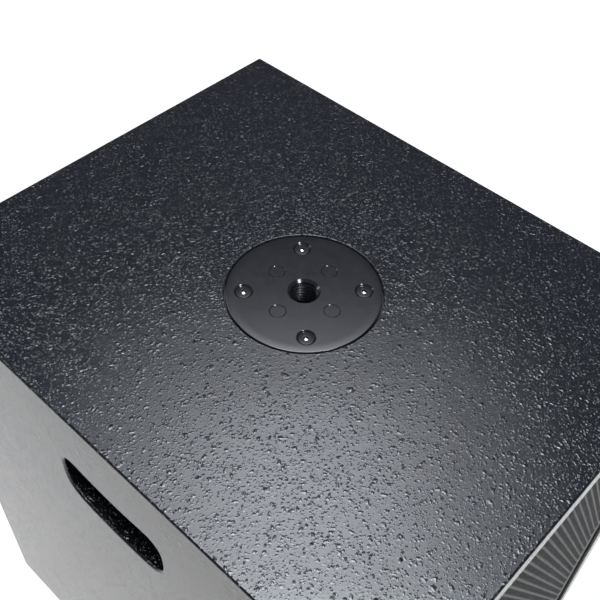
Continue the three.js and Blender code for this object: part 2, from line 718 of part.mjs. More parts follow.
function makeSockets() {
  const face = AMP_FACE;
  const flange = (x, z) => block([x - 13, x + 13], [face + GAP, face + 2.3], [z - 15.5, z + 15.5]);
  const body = (x, z) => drumY(x, z, face - 20, face + 1, 12);

  // Female socket: a groove round an insert with three contact holes, and a sprung latch above it.
  const [ix, iz] = XLR.input;
  const contactCircle = 4.2;
  const contacts = [0, 1, 2].map((i) => {
    const angle = Math.PI / 2 + ((i + 0.5) * 2 * Math.PI) / 3;
    return [contactCircle * Math.cos(angle), contactCircle * Math.sin(angle)];
  });
  const groove = cut(
    drumY(ix, iz, face - 12, face + 3, 9.4, ROUND),
    drumY(ix, iz, face - 13, face + 1.6, 7.6, ROUND),
  );
  const input = cut(
    join(flange(ix, iz), body(ix, iz)),
    groove,
    drumY(ix, iz, face + 1.6, face + 3, 9.4, ROUND),
    latchSlot([face - 5, face + 3], 0),
    ...contacts.map(([x, z]) => drumY(ix + x, iz + z, face - 10, face + 3, 1.4, TINY)),
  );
  node("xlr_input", input, PLASTIC);
  const latch = block([ix - 4, ix + 4], [face - 2.6, face + 3.8], [iz + 10.3, iz + 13.3]);
  node("xlr_latch", latch, ZINC);

  // Male socket: an open well with three pins.
  const [ox, oz] = XLR.output;
  const well = cut(join(flange(ox, oz), body(ox, oz)), drumY(ox, oz, face - 13, face + 3, 9.2, ROUND));
  const pins = contacts.map(([x, z]) => drumY(ox - x, oz + z, face - 14, face - 4, 1.2, TINY));
  node("xlr_output", join(well, ...pins), PLASTIC);

  // Mains inlet: an open well with three flat pins.
  const [mx, mz] = INLET_PLACE;
  const inlet = cut(
    join(
      block([mx - 25, mx + 25], [face + GAP, face + 3], [mz - 12.5, mz + 12.5]),
      block([mx - 14, mx + 14], [face - 22, face + 1], [mz - 10.5, mz + 10.5]),
    ),
    block([mx - 12.2, mx + 12.2], [face - 14, face + 4], [mz - 8, mz + 8]),
  );
  const blades = [[-7, -2], [0, 2.5], [7, -2]].map(([x, z]) =>
    block([mx + x - 1, mx + x + 1], [face - 15, face - 4], [mz + z - 2, mz + z + 2]),
  );
  node("mains_inlet", join(inlet, ...blades), PLASTIC);
}

function makeElectronics() {
  const face = AMP_BACK;
  const boardX = [-98, -20];
  const boardZ = [276, 346];
  const board = [block(boardX, [face - 12, face - 10.4], boardZ)];
  for (const [x, z] of Object.values(KNOB_PLACES)) {
    board.push(cut(drumY(x, z, face - 11, face - 1, 8), drumY(x, z, face - 9, face, 3.3)));
  }
  const [bx, bz] = BUTTON_PLACE;
  board.push(
    cut(
      block([bx - 6, bx + 6], [face - 11, face - 3], [bz - 6, bz + 6]),
      drumY(bx, bz, face - 10, face, 2.9, TINY),
    ),
  );
  board.push(block([-70, -50], [face - 11, face - 6], [283, 301]));
  node("control_board", join(...board), BOARD);

  const y = face - 60;
  const power = [block([-94, 94], [y - 1.6, y], [140, 250])];
  for (const x of [-78, -50]) power.push(drumY(x, 225, y - 1, y + 28, 12));
  for (const x of [-20, 0]) power.push(drumY(x, 228, y - 1, y + 18, 8));
  power.push(block([20, 88], [y - 1, y + 22], [212, 246]));
  power.push(block([-88, -66], [y - 1, y + 16], [148, 178]));
  node("power_board", join(...power), BOARD);

  const toroid = Array.from({ length: 8 }, (_, i) => {
    const angle = (i * Math.PI) / 4;
    return [29 + 19 * Math.cos(angle), face - 34 + 17 * Math.sin(angle)];
  });
  node("toroidal_transformer", turnedY(toroid, 45, 300), WINDING);
}

// ---- Feet ----

function footPlaces() {
  return [-FOOT_X, FOOT_X].flatMap((x) => [-FOOT_Y, FOOT_Y].map((y) => [x, y]));
}

function makeFeet() {
  footPlaces().forEach(([x, y], i) => {
    const foot = cut(
      turnedZ(
        [
          [0, 0],
          [FOOT_RADIUS - 3, 0],
          [FOOT_RADIUS - 2, 1],
          [FOOT_RADIUS, FOOT_HEIGHT - GAP],
          [0, FOOT_HEIGHT - GAP],
        ],
        x,
        y,
        SMALL,
      ),
      drumZ(x, y, -1, 5, 6),
      drumZ(x, y, -1, FOOT_HEIGHT + 1, 2.6, TINY),
    );
    node(`rubber_foot_${i + 1}`, foot, RUBBER);
  });
}

makeCabinet();
makePoleMount();
makeWoofer();
makePorts();
makeGrille();
makeAmplifier();
makeFeet();

export default group;
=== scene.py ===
"""Looks of a compact active PA subwoofer: coated cabinet, pole-mount plate, grille and amplifier.

Metres, +Z up, the grille faces -Y and the amplifier faces +Y, as in the CAD frame.
"""

import json
import math

import bmesh
import bpy
import mathutils
import numpy as np
from mathutils import Matrix, Vector
from mathutils.geometry import delaunay_2d_cdt

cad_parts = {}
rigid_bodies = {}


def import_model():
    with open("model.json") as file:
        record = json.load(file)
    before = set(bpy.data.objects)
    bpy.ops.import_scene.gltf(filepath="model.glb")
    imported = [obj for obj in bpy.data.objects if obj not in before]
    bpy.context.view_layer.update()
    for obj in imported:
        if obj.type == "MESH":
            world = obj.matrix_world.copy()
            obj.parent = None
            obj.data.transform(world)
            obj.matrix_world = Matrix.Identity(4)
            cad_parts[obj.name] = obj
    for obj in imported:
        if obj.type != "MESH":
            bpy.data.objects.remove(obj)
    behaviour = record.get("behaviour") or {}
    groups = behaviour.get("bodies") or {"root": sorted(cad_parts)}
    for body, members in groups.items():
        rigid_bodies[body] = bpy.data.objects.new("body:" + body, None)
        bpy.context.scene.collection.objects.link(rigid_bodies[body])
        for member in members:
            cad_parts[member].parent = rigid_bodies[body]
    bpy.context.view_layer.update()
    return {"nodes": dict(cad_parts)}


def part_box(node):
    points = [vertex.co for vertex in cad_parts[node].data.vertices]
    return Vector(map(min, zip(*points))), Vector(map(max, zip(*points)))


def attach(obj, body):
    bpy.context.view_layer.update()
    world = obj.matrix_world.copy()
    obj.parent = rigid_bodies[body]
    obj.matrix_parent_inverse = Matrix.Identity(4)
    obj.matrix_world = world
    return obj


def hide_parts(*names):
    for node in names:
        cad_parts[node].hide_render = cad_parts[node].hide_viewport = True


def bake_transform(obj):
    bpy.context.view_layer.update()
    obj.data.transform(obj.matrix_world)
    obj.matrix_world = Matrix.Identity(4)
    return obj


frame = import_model()

MM = 0.001
PLAY = 0.3 * MM  # gap left round a CAD face that a cutter stays clear of
COAT_LOW, COAT_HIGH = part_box("structure_coat")
PLATE_LOW, PLATE_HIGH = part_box("pole_mount_plate")
INNER_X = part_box("right_panel")[0].x
INNER_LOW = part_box("bottom_panel")[1].z
INNER_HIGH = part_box("top_panel")[0].z
BAFFLE_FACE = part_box("front_baffle")[0].y
REAR_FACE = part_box("rear_panel")[1].y
PLATE_CENTRE = Vector((0, 0, PLATE_HIGH.z))
PLATE_RADIUS = PLATE_HIGH.x

# ---- Camera ----

CAMERA_OFFSET = Vector((-0.3003, -0.2615, 0.4311))  # from the middle of the top
CAMERA_HEADING, CAMERA_TILT, CAMERA_ROLL = -48.609, 42.123, 2.474
CAMERA_LENS = 54.15


def add_camera():
    data = bpy.data.cameras.new("camera")
    data.lens = CAMERA_LENS
    data.sensor_width = 36
    data.clip_start = 0.01
    camera = bpy.data.objects.new("camera", data)
    turn = (
        Matrix.Rotation(math.radians(CAMERA_HEADING), 4, "Z")
        @ Matrix.Rotation(math.radians(CAMERA_TILT), 4, "X")
        @ Matrix.Rotation(math.radians(CAMERA_ROLL), 4, "Z")
    )
    camera.matrix_world = Matrix.Translation(Vector((0, 0, COAT_HIGH.z)) + CAMERA_OFFSET) @ turn
    bpy.context.scene.collection.objects.link(camera)
    bpy.context.scene.camera = camera


# ---- Node materials ----


class Look:
    """A node material in the making: its principled shader and short ways to add nodes."""

    def __init__(self, name):
        self.material = bpy.data.materials.new(name)
        self.material.use_nodes = True
        self.tree = self.material.node_tree
        self.shader = self.tree.nodes["Principled BSDF"]
        self.place = self.add("ShaderNodeTexCoord").outputs["Object"]

    def add(self, kind, **settings):
        node = self.tree.nodes.new(kind)
        for key, value in settings.items():
            setattr(node, key, value)
        return node

    def feed(self, socket, value):
        """Links an output to an input, or sets the input's value."""
        if isinstance(value, bpy.types.NodeSocket):
            self.tree.links.new(value, socket)
        else:
            socket.default_value = value

    def base(self, color, roughness, metallic=None, specular=None):
        """Sets the shader's main values."""
        sockets = self.shader.inputs
        self.feed(sockets["Base Color"], color)
        self.feed(sockets["Roughness"], roughness)
        if metallic is not None:
            self.feed(sockets["Metallic"], metallic)
        if specular is not None:
            self.feed(sockets["Specular IOR Level"], specular)
        return self

    def glow(self, color, strength):
        """Lets the surface give off light of its own."""
        self.feed(self.shader.inputs["Emission Color"], color)
        self.feed(self.shader.inputs["Emission Strength"], strength)
        return self

    def stretched(self, x, y, z):
        node = self.add("ShaderNodeMapping")
        self.feed(node.inputs["Vector"], self.place)
        node.inputs["Scale"].default_value = (x, y, z)
        return node.outputs["Vector"]

    def noise(self, size, detail=2.0, rough=0.5, warp=0.0, place=None):
        """Noise whose features are about size metres across, from 0 to 1."""
        node = self.add("ShaderNodeTexNoise")
        self.feed(node.inputs["Vector"], place or self.place)
        node.inputs["Scale"].default_value = 1 / size
        node.inputs["Detail"].default_value = detail
        node.inputs["Roughness"].default_value = rough
        node.inputs["Distortion"].default_value = warp
        return node.outputs["Fac"]

    def cells(self, size, feature="F1"):
        """Distance to the middle or the edge of cells about size metres across."""
        node = self.add("ShaderNodeTexVoronoi", feature=feature)
        self.feed(node.inputs["Vector"], self.place)
        node.inputs["Scale"].default_value = 1 / size
        return node.outputs["Distance"]

    def bands(self, direction, scale, distortion):
        """Parallel waves, from 0 to 1."""
        node = self.add("ShaderNodeTexWave", wave_type="BANDS", bands_direction=direction)
        self.feed(node.inputs["Vector"], self.place)
        node.inputs["Scale"].default_value = scale
        node.inputs["Distortion"].default_value = distortion
        return node.outputs["Fac"]

    def gloss(self, size, lowest, highest, detail=2.0, rough=0.5):
        """Roughness that drifts between two values over clouds size metres across."""
        return self.spread(self.noise(size, detail, rough), 0.3, 0.7, lowest, highest)

    def spread(self, value, low, high, new_low=0.0, new_high=1.0, smooth=False):
        """Maps low..high to new_low..new_high, clamped."""
        node = self.add("ShaderNodeMapRange")
        if smooth:
            node.interpolation_type = "SMOOTHSTEP"
        self.feed(node.inputs["Value"], value)
        sockets = node.inputs
        sockets["From Min"].default_value, sockets["From Max"].default_value = low, high
        sockets["To Min"].default_value, sockets["To Max"].default_value = new_low, new_high
        return node.outputs["Result"]

    def math(self, operation, a, b=0.0):
        node = self.add("ShaderNodeMath", operation=operation)
        self.feed(node.inputs[0], a)
        self.feed(node.inputs[1], b)
        return node.outputs["Value"]

    def mix(self, share, a, b):
        """Colour from a to b by share."""
        node = self.add("ShaderNodeMix", data_type="RGBA")
        self.feed(node.inputs["Factor"], share)
        for socket, value in ((node.inputs[6], a), (node.inputs[7], b)):
            self.feed(socket, (*value, 1) if isinstance(value, tuple) else value)
        return node.outputs[2]

    def bump(self, height, depth):
        """Turns a 0..1 height into relief depth metres deep, and feeds it to the shader."""
        node = self.add("ShaderNodeBump")
        node.inputs["Strength"].default_value = 1.0
        node.inputs["Distance"].default_value = depth
        self.feed(node.inputs["Height"], height)
        self.feed(self.shader.inputs["Normal"], node.outputs["Normal"])


COAT_RELIEF = 0.58 * MM


def blobs(look, size, share, warp):
    """Height of rounded, irregular blobs scattered over the given share of cells size metres across."""
    drift = look.add("ShaderNodeTexNoise")
    look.feed(drift.inputs["Vector"], look.place)
    drift.inputs["Scale"].default_value = 0.8 / size
    drift.inputs["Detail"].default_value = 1.0
    bent = look.add("ShaderNodeVectorMath", operation="MULTIPLY_ADD")
    look.feed(bent.inputs[0], drift.outputs["Color"])
    bent.inputs[1].default_value = (warp * size,) * 3
    look.feed(bent.inputs[2], look.place)
    cell = look.add("ShaderNodeTexVoronoi", feature="F1")
    look.feed(cell.inputs["Vector"], bent.outputs["Vector"])
    cell.inputs["Scale"].default_value = 1 / size
    chance = look.add("ShaderNodeSeparateColor")
    look.feed(chance.inputs["Color"], cell.outputs["Color"])
    reach = look.spread(chance.outputs["Red"], 1 - share, 1, 0.0, 1.0)
    reach = look.math("MULTIPLY_ADD", reach, 0.30)
    reach.node.inputs[2].default_value = 0.24
    chosen = look.math("GREATER_THAN", chance.outputs["Red"], 1 - share)
    near = look.math("DIVIDE", cell.outputs["Distance"], reach)
    dome = look.spread(near, 0.0, 1.0, 1.0, 0.0, smooth=True)
    return look.math("MULTIPLY", look.math("MULTIPLY", dome, reach), chosen)


def grained(name, tone, shine, grain, metallic=None, specular=None):
    """A clouded finish with a fine grain, all sizes and depths in millimetres.

    tone is (size, detail, darkest, lightest), shine (size, detail, roughness, lowest, highest) and grain
    (size, detail, roughness, depth).
    """
    look = Look(name)
    size, detail, darkest, lightest = tone
    colour = look.mix(look.noise(size * MM, detail), darkest, lightest)
    size, detail, rough, lowest, highest = shine
    gloss = look.gloss(size * MM, lowest, highest, detail, rough)
    size, detail, rough, depth = grain
    look.bump(look.noise(size * MM, detail, rough), depth * MM)
    return look.base(colour, gloss, metallic, specular).material


def structure_paint():
    """Sprayed structure coating: scattered rounded glossy drops of several sizes on a smoother skin."""
    look = Look("structure_paint")
    height = 0.0
    for size, share, warp, weight in ((3.3, 0.60, 1.5, 0.95), (2.1, 0.82, 1.3, 0.72), (1.25, 0.8, 1.0, 0.45)):
        layer = look.math("MULTIPLY", blobs(look, size * MM, share, warp), weight)
        height = look.math("ADD", layer, height)
    skin = look.math("MULTIPLY", look.noise(5 * MM, 3.0, 0.6), 0.09)
    look.bump(look.math("ADD", height, skin), COAT_RELIEF)
    tone = look.mix(look.noise(60 * MM), (0.0035, 0.0040, 0.0055), (0.0052, 0.0058, 0.0078))
    return look.base(tone, look.gloss(18 * MM, 0.12, 0.16, 3.0, 0.6), specular=0.5).material


def cast_satin():
    """Smooth satin black paint on a die casting, faintly clouded."""
    tone = (25, 3.0, (0.0050, 0.0055, 0.0068), (0.0075, 0.0080, 0.0095))
    return grained("cast_satin", tone, (6, 4.0, 0.6, 0.15, 0.19), (7, 2.0, 0.5, 0.012), specular=0.42)


def burnished_black():
    """Blackened steel of the screws."""
    tone = (2, 3.0, (0.006, 0.006, 0.007), (0.012, 0.012, 0.013))
    return grained("burnished_black", tone, (0.6, 3.0, 0.5, 0.22, 0.34), (0.35, 2.0, 0.5, 0.006))


def moulded_black():
    """Injection-moulded black plastic with a fine spark-eroded grain."""
    tone = (12, 3.0, (0.010, 0.010, 0.011), (0.015, 0.015, 0.016))
    return grained("moulded_black", tone, (3, 3.0, 0.5, 0.42, 0.55), (0.45, 2.0, 0.6, 0.03))


def plain_black(name, tone, shine, grain, depth, metallic=0.0):
    """A black finish with a fine grain; shine is its lowest and highest roughness."""
    tones = (14, 3.0, (tone, tone, tone * 1.05), (tone * 1.5,) * 3)
    return grained(name, tones, (5, 4.0, 0.6, *shine), (grain, 2.0, 0.6, depth), metallic)


def dull_black(name):
    """Oxide-blackened steel with a trace of oil."""
    tone = (2, 3.0, (0.0035, 0.0035, 0.0045), (0.0075, 0.0075, 0.0085))
    return grained(name, tone, (0.8, 3.0, 0.5, 0.30, 0.42), (0.35, 2.0, 0.5, 0.006), specular=0.2)


def powder_coat():
    """Semi-matt black powder coat with orange peel."""
    return plain_black("powder_coat", 0.010, (0.38, 0.5), 1.1, 0.05)


def rubber():
    """Matt black rubber."""
    return plain_black("rubber", 0.011, (0.68, 0.85), 0.5, 0.04)


def anodised():
    """Black anodised aluminium."""
    return plain_black("anodised", 0.016, (0.32, 0.42), 0.25, 0.012, metallic=0.6)


def within(look, low, high):
    """1 inside the box between two corners and 0 outside it."""
    split = look.add("ShaderNodeSeparateXYZ")
    look.feed(split.inputs["Vector"], look.place)
    share = 1.0
    for axis, (a, b) in zip("XYZ", zip(low, high)):
        off = look.math("ABSOLUTE", look.math("SUBTRACT", split.outputs[axis], (a + b) / 2))
        inside = look.math("LESS_THAN", off, (b - a) / 2)
        share = look.math("MULTIPLY", inside, share)
    return share


def part_painted_ply(name, low, high):
    """Birch plywood, painted black within a box: long grain, veneer layers and open pores."""
    look = Look(name)
    grain = look.noise(1, 4.0, 0.6, 0.4, look.stretched(260, 260, 22))
    figure = look.noise(1, 3.0, 0.5, 1.2, look.stretched(26, 26, 3))
    wood = look.mix(look.spread(grain, 0.35, 0.7), (0.46, 0.29, 0.14), (0.60, 0.41, 0.22))
    wood = look.mix(look.spread(figure, 0.45, 0.75, 0.0, 0.35), wood, (0.36, 0.21, 0.10))
    tone = look.mix(within(look, low, high), wood, (0.010, 0.0102, 0.0108))
    look.bump(look.math("ADD", grain, look.noise(0.9 * MM)), 0.05 * MM)
    return look.base(tone, look.gloss(5 * MM, 0.45, 0.62, 3.0)).material


def pressed_paper():
    """Black paper cone: felted fibres in a matt skin."""
    look = Look("pressed_paper")
    fibre = look.noise(1, 4.0, 0.7, 1.5, look.stretched(900, 500, 900))
    tone = look.mix(fibre, (0.006, 0.006, 0.006), (0.016, 0.016, 0.017))
    look.bump(fibre, 0.06 * MM)
    return look.base(tone, look.spread(fibre, 0.3, 0.7, 0.75, 0.9)).material


def treated_cloth():
    """Amber resin-treated cloth, with its weave."""
    look = Look("treated_cloth")
    weave = [look.bands(direction, 260, 0.6) for direction in ("X", "Z")]
    threads = look.math("MAXIMUM", *weave)
    # darker in the gaps between the threads: painted shade
    tone = look.mix(threads, (0.16, 0.075, 0.02), (0.42, 0.24, 0.085))
    look.bump(threads, 0.12 * MM)
    return look.base(tone, look.gloss(3 * MM, 0.5, 0.7)).material


def zinc():
    """Bright zinc plating, lightly brushed and clouded."""
    look = Look("zinc")
    lines = look.noise(1, 3.0, 0.6, 0.0, look.stretched(2400, 60, 2400))
    cloud = look.noise(9 * MM, 3.0)
    tone = look.mix(cloud, (0.50, 0.51, 0.53), (0.66, 0.66, 0.65))
    look.bump(lines, 0.008 * MM)
    return look.base(tone, look.spread(cloud, 0.3, 0.7, 0.26, 0.42), 1.0).material


def ferrite():
    """Dull sintered ferrite with tiny chips and pores."""
    look = Look("ferrite")
    tone = look.mix(look.noise(6 * MM, 4.0), (0.022, 0.022, 0.024), (0.045, 0.045, 0.047))
    look.bump(look.spread(look.cells(1.1 * MM), 0.0, 0.35), 0.08 * MM)
    return look.base(tone, look.gloss(2 * MM, 0.6, 0.75)).material


def open_foam():
    """Black reticulated foam: open cells about a millimetre across."""
    look = Look("open_foam")
    cells = look.cells(1.0 * MM)
    # darker in the middle of each cell: painted shade inside the open pores
    tone = look.mix(look.spread(cells, 0.15, 0.6), (0.0015, 0.0015, 0.0015), (0.016, 0.016, 0.017))
    look.bump(cells, 0.7 * MM)
    return look.base(tone, look.spread(cells, 0.2, 0.6, 0.8, 0.95)).material


def fleece():
    """Off-white polyester fleece with tangled fibres."""
    look = Look("fleece")
    fibre = look.noise(1.6 * MM, 5.0, 0.7, 2.5)
    cloud = look.noise(22 * MM, 3.0)
    tone = look.mix(cloud, (0.66, 0.64, 0.58), (0.82, 0.80, 0.75))
    look.bump(look.math("ADD", fibre, look.math("MULTIPLY", cloud, 0.8)), 0.8 * MM)
    return look.base(tone, look.spread(fibre, 0.3, 0.7, 0.85, 1.0)).material


def circuit_board(board_low, board_high):
    """Green solder mask with faint tracks inside the board's own thickness, and dark parts beyond it."""
    look = Look("circuit_board")
    tracks = look.cells(4 * MM, "DISTANCE_TO_EDGE")
    mask = look.mix(look.spread(tracks, 0.03, 0.06), (0.02, 0.13, 0.05), (0.010, 0.075, 0.028))
    parts = look.mix(look.noise(9 * MM), (0.012, 0.012, 0.013), (0.03, 0.035, 0.05))
    tone = look.mix(within(look, board_low, board_high), parts, mask)
    look.bump(tracks, 0.04 * MM)
    return look.base(tone, look.gloss(4 * MM, 0.35, 0.55)).material


def winding():
    """Enamelled copper wire wound across a ring."""
    look = Look("winding")
    wire = look.bands("DIAGONAL", 210, 1.5)
    look.bump(wire, 0.25 * MM)
    # darker in the grooves between the wires: painted shade
    tone = look.mix(wire, (0.20, 0.05, 0.016), (0.55, 0.20, 0.075))
    return look.base(tone, look.gloss(5 * MM, 0.25, 0.4), 0.55).material


def green_lens():
    """Green plastic lens, faintly lit."""
    look = Look("green_lens")
    tone = look.mix(look.noise(1.5 * MM), (0.02, 0.33, 0.07), (0.03, 0.46, 0.10))
    look.bump(look.noise(0.6 * MM), 0.01 * MM)
    return look.base(tone, look.gloss(MM, 0.08, 0.16)).glow((0.03, 0.6, 0.12, 1), 0.35).material


def white_print():
    """Screen-printed white ink, slightly uneven."""
    tone = (0.8, 3.0, (0.58, 0.58, 0.57), (0.72, 0.72, 0.71))
    return grained("white_print", tone, (1, 2.0, 0.5, 0.5, 0.65), (0.3, 2.0, 0.5, 0.01))


def contact_metal():
    """Silver-plated contact pins, also the bright steel dishes in the screws' sockets that are there as a
    painted highlight.
    """
    tone = (2, 2.0, (0.62, 0.60, 0.56), (0.75, 0.74, 0.72))
    return grained("contact_metal", tone, (1, 2.0, 0.5, 0.2, 0.32), (0.4, 2.0, 0.5, 0.006), 1.0)


def pale_floor():
    """White sweep: lit from within, so that it stays white in the picture."""
    look = Look("pale_floor")
    tone = look.mix(look.noise(0.4), (0.09, 0.09, 0.09), (0.11, 0.11, 0.11))
    return look.base(tone, look.gloss(0.1, 0.6, 0.75, 3.0)).glow((1, 1, 1, 1), 0.95).material


# ---- Mesh making ----

SCRATCH = bpy.data.collections.new("scratch")


def object_of(name, mesh, collection=None):
    obj = bpy.data.objects.new(name, mesh)
    (collection or bpy.context.scene.collection).objects.link(obj)
    return obj


def mesh_of(name, points, faces):
    mesh = bpy.data.meshes.new(name)
    mesh.from_pydata([tuple(p) for p in points], [], faces)
    mesh.update()
    return mesh


def smooth(obj, angle=32):
    """Smooth shading that leaves large flat faces flat and edges above the angle sharp."""
    obj.data.shade_smooth()
    obj.data.set_sharp_from_angle(angle=math.radians(angle))
    step = obj.modifiers.new("flat_faces_stay_flat", "WEIGHTED_NORMAL")
    step.keep_sharp = True
    step.weight = 100
    return obj


def piece(name, mesh, look, body, slot, *nodes, angle=32):
    """A finished piece: shaded, riding on its body and standing for CAD nodes."""
    obj = object_of(name, mesh)
    obj.data.materials.clear()
    obj.data.materials.append(look)
    smooth(obj, angle)
    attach(obj, body)
    if nodes:
        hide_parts(*nodes)
    return obj


AXES = {"X": Matrix.Rotation(math.pi / 2, 4, "Y"), "Y": Matrix.Rotation(-math.pi / 2, 4, "X"), "Z": Matrix()}


def turned(profile, steps=96, centre=(0, 0, 0), axis="Z", closed=True):
    """Turns (radius, height) points about an axis through centre; a radius may depend on the angle."""
    points, rows = [], []
    for radius, height in profile:
        if not callable(radius) and radius == 0:
            rows.append([len(points)])
            points.append(Vector((0, 0, height)))
            continue
        rows.append(list(range(len(points), len(points) + steps)))
        for i in range(steps):
            angle = 2 * math.pi * i / steps
            r = radius(angle) if callable(radius) else radius
            points.append(Vector((r * math.cos(angle), r * math.sin(angle), height)))
    faces = []
    for a, b in zip(rows, rows[1:] + ([rows[0]] if closed else [])):
        if len(a) == 1 and len(b) == 1:
            continue
        for i in range(steps):
            j = (i + 1) % steps
            if len(a) == 1:
                faces.append([a[0], b[j], b[i]])
            elif len(b) == 1:
                faces.append([a[i], a[j], b[0]])
            else:
                faces.append([a[i], a[j], b[j], b[i]])
    turn = Matrix.Translation(Vector(centre)) @ AXES[axis]
    return outward(mesh_of("turned", [turn @ p for p in points], faces))


def outward(mesh):
    """Turns every face of a closed mesh outwards, and drops vertices without a face."""
    shape = bmesh.new()
    shape.from_mesh(mesh)
    unused = [v for v in shape.verts if not v.link_faces]
    bmesh.ops.delete(shape, geom=unused, context="VERTS")
    bmesh.ops.remove_doubles(shape, verts=shape.verts, dist=1e-7)
    bmesh.ops.recalc_face_normals(shape, faces=shape.faces)
    if shape.calc_volume(signed=True) < 0:
        bmesh.ops.reverse_faces(shape, faces=shape.faces)
    shape.to_mesh(mesh)
    shape.free()
    return mesh


def mm(profile, base=0.0):
    """A profile given in millimetres, its heights measured from base."""
    return [(radius * MM, base + height * MM) for radius, height in profile]


def centre_of(node):
    """The middle of a CAD node's box, as x, y and z."""
    low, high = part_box(node)
    return tuple((a + b) / 2 for a, b in zip(low, high))


def drum(x, z, low, high, radius, steps=48, axis="Y"):
    """A solid cylinder about an axis through x, z along Y; along Z it is about the cabinet's middle."""
    return turned([(0, low), (radius, low), (radius, high), (0, high)], steps, (x, 0, z), axis, False)


def arc(centre, radius, start, end, steps):
    """Points of an arc in a profile, angles in degrees."""
    turn = [math.radians(start + (end - start) * i / steps) for i in range(steps + 1)]
    return [(centre[0] + radius * math.cos(a), centre[1] + radius * math.sin(a)) for a in turn]


def block(low, high, edge=0.0, segments=2):
    """A box between two corners with rounded edges."""
    shape = bmesh.new()
    bmesh.ops.create_cube(shape, size=1)
    low, high = Vector(low), Vector(high)
    size = high - low
    for v in shape.verts:
        v.co = low + Vector((v.co[k] + 0.5) * size[k] for k in range(3))
    if edge:
        bmesh.ops.bevel(
            shape, geom=list(shape.edges), offset=edge, segments=segments, profile=0.5, affect="EDGES"
        )
    mesh = bpy.data.meshes.new("block")
    shape.to_mesh(mesh)
    shape.free()
    return mesh


def prism(outline, low, high, axis="X"):
    """Pushes a closed outline of points along an axis, from low to high."""
    n = len(outline)
    place = {
        "X": lambda a, b, h: (h, a, b),
        "Y": lambda a, b, h: (a, h, b),
        "Z": lambda a, b, h: (a, b, h),
    }[axis]
    points = [place(a, b, h) for h in (low, high) for a, b in outline]
    faces = [list(range(n)), list(range(n, 2 * n))]
    faces += [[i, (i + 1) % n, n + (i + 1) % n, n + i] for i in range(n)]
    return outward(mesh_of("prism", points, faces))


def carved(mesh, *cutters, operation="DIFFERENCE"):
    """The mesh with each cutter taken away, or joined on, by an exact boolean."""
    body = object_of("carved", mesh, SCRATCH)
    tool = bpy.data.collections.new("cutters")
    for cutter in cutters:
        object_of("cutter", cutter, tool)
    bpy.context.scene.collection.children.link(SCRATCH)
    bpy.context.scene.collection.children.link(tool)
    step = body.modifiers.new("cut", "BOOLEAN")
    step.operation, step.solver = operation, "EXACT"
    step.operand_type, step.collection = "COLLECTION", tool
    done = applied(body)
    for obj in list(tool.objects) + [body]:
        bpy.data.objects.remove(obj)
    bpy.context.scene.collection.children.unlink(SCRATCH)
    bpy.data.collections.remove(tool)
    return done


def applied(obj):
    """The object's mesh with its modifiers applied."""
    bpy.context.view_layer.update()
    graph = bpy.context.evaluated_depsgraph_get()
    return bpy.data.meshes.new_from_object(obj.evaluated_get(graph), depsgraph=graph)


def with_modifier(mesh, kind, **settings):
    obj = object_of("shaped", mesh)
    step = obj.modifiers.new("step", kind)
    for key, value in settings.items():
        setattr(step, key, value)
    done = applied(obj)
    bpy.data.objects.remove(obj)
    return done


def welded(mesh):
    """One closed shell whose flat stretches are single faces, so that only real edges are left to round."""
    shape = bmesh.new()
    shape.from_mesh(mesh)
    bmesh.ops.remove_doubles(shape, verts=shape.verts, dist=2e-6)
    bmesh.ops.dissolve_degenerate(shape, edges=shape.edges, dist=2e-6)
    bmesh.ops.dissolve_limit(
        shape, angle_limit=math.radians(0.5), verts=shape.verts, edges=shape.edges, delimit={"NORMAL"}
    )
    shape.to_mesh(mesh)
    shape.free()
    return mesh


def rounded_edges(mesh, width, segments=2, angle=35):
    """The mesh, welded, with every edge sharper than the angle rounded."""
    return with_modifier(
        welded(mesh),
        "BEVEL",
        width=width,
        segments=segments,
        limit_method="ANGLE",
        angle_limit=math.radians(angle),
        use_clamp_overlap=True,
    )


# ---- Structure coat ----

EDGE_RADIUS = 1.5 * MM
SKIN = 0.25 * MM  # thickness of the visible coat
HAND_HOLD_HALF = 47 * MM
HAND_HOLD_HEIGHT = 41 * MM
HAND_HOLD_DROP = 55.6 * MM
HAND_HOLD_BOW = 228 * MM
HAND_HOLD_CORNER = 17 * MM
HAND_HOLD_TOP = COAT_HIGH.z - HAND_HOLD_DROP
POCKET_RADIUS = 52.4 * MM
POCKET_DEPTH = 4.9 * MM
WINDOW_HALF = 100 * MM  # of the opening behind the amplifier plate
WINDOW_INSET = 15 * MM  # from the plate's lower and upper edges


def hand_hold_outline(shrink):
    """The opening's outline as (y, z) points: long edges bowed downwards and round corners."""
    half = HAND_HOLD_HALF - shrink
    top = HAND_HOLD_TOP - shrink
    bottom = HAND_HOLD_TOP - HAND_HOLD_HEIGHT + shrink
    corner = HAND_HOLD_CORNER - shrink
    inner = half - corner

    def rise(y):
        return y * y / (2 * HAND_HOLD_BOW)

    def bend(a, b, c, steps=7):
        shares = [i / steps for i in range(1, steps)]
        return [
            tuple((1 - s) ** 2 * a[k] + 2 * s * (1 - s) * b[k] + s * s * c[k] for k in (0, 1))
            for s in shares
        ]

    steps = 28
    along = [-inner + 2 * inner * i / steps for i in range(steps + 1)]
    lower = [(y, bottom + rise(y)) for y in along]
    upper = [(y, top + rise(y)) for y in reversed(along)]
    low_end, high_end = bottom + rise(half), top + rise(half)
    up_right, down_right = (half, low_end + corner), (half, high_end - corner)
    down_left, up_left = (-half, high_end - corner), (-half, low_end + corner)
    outline = lower + bend(lower[-1], (half, low_end), up_right) + [up_right, down_right]
    outline += bend(down_right, (half, high_end), upper[0]) + upper
    outline += bend(upper[-1], (-half, high_end), down_left) + [down_left, up_left]
    return outline + bend(up_left, (-half, low_end), lower[0])


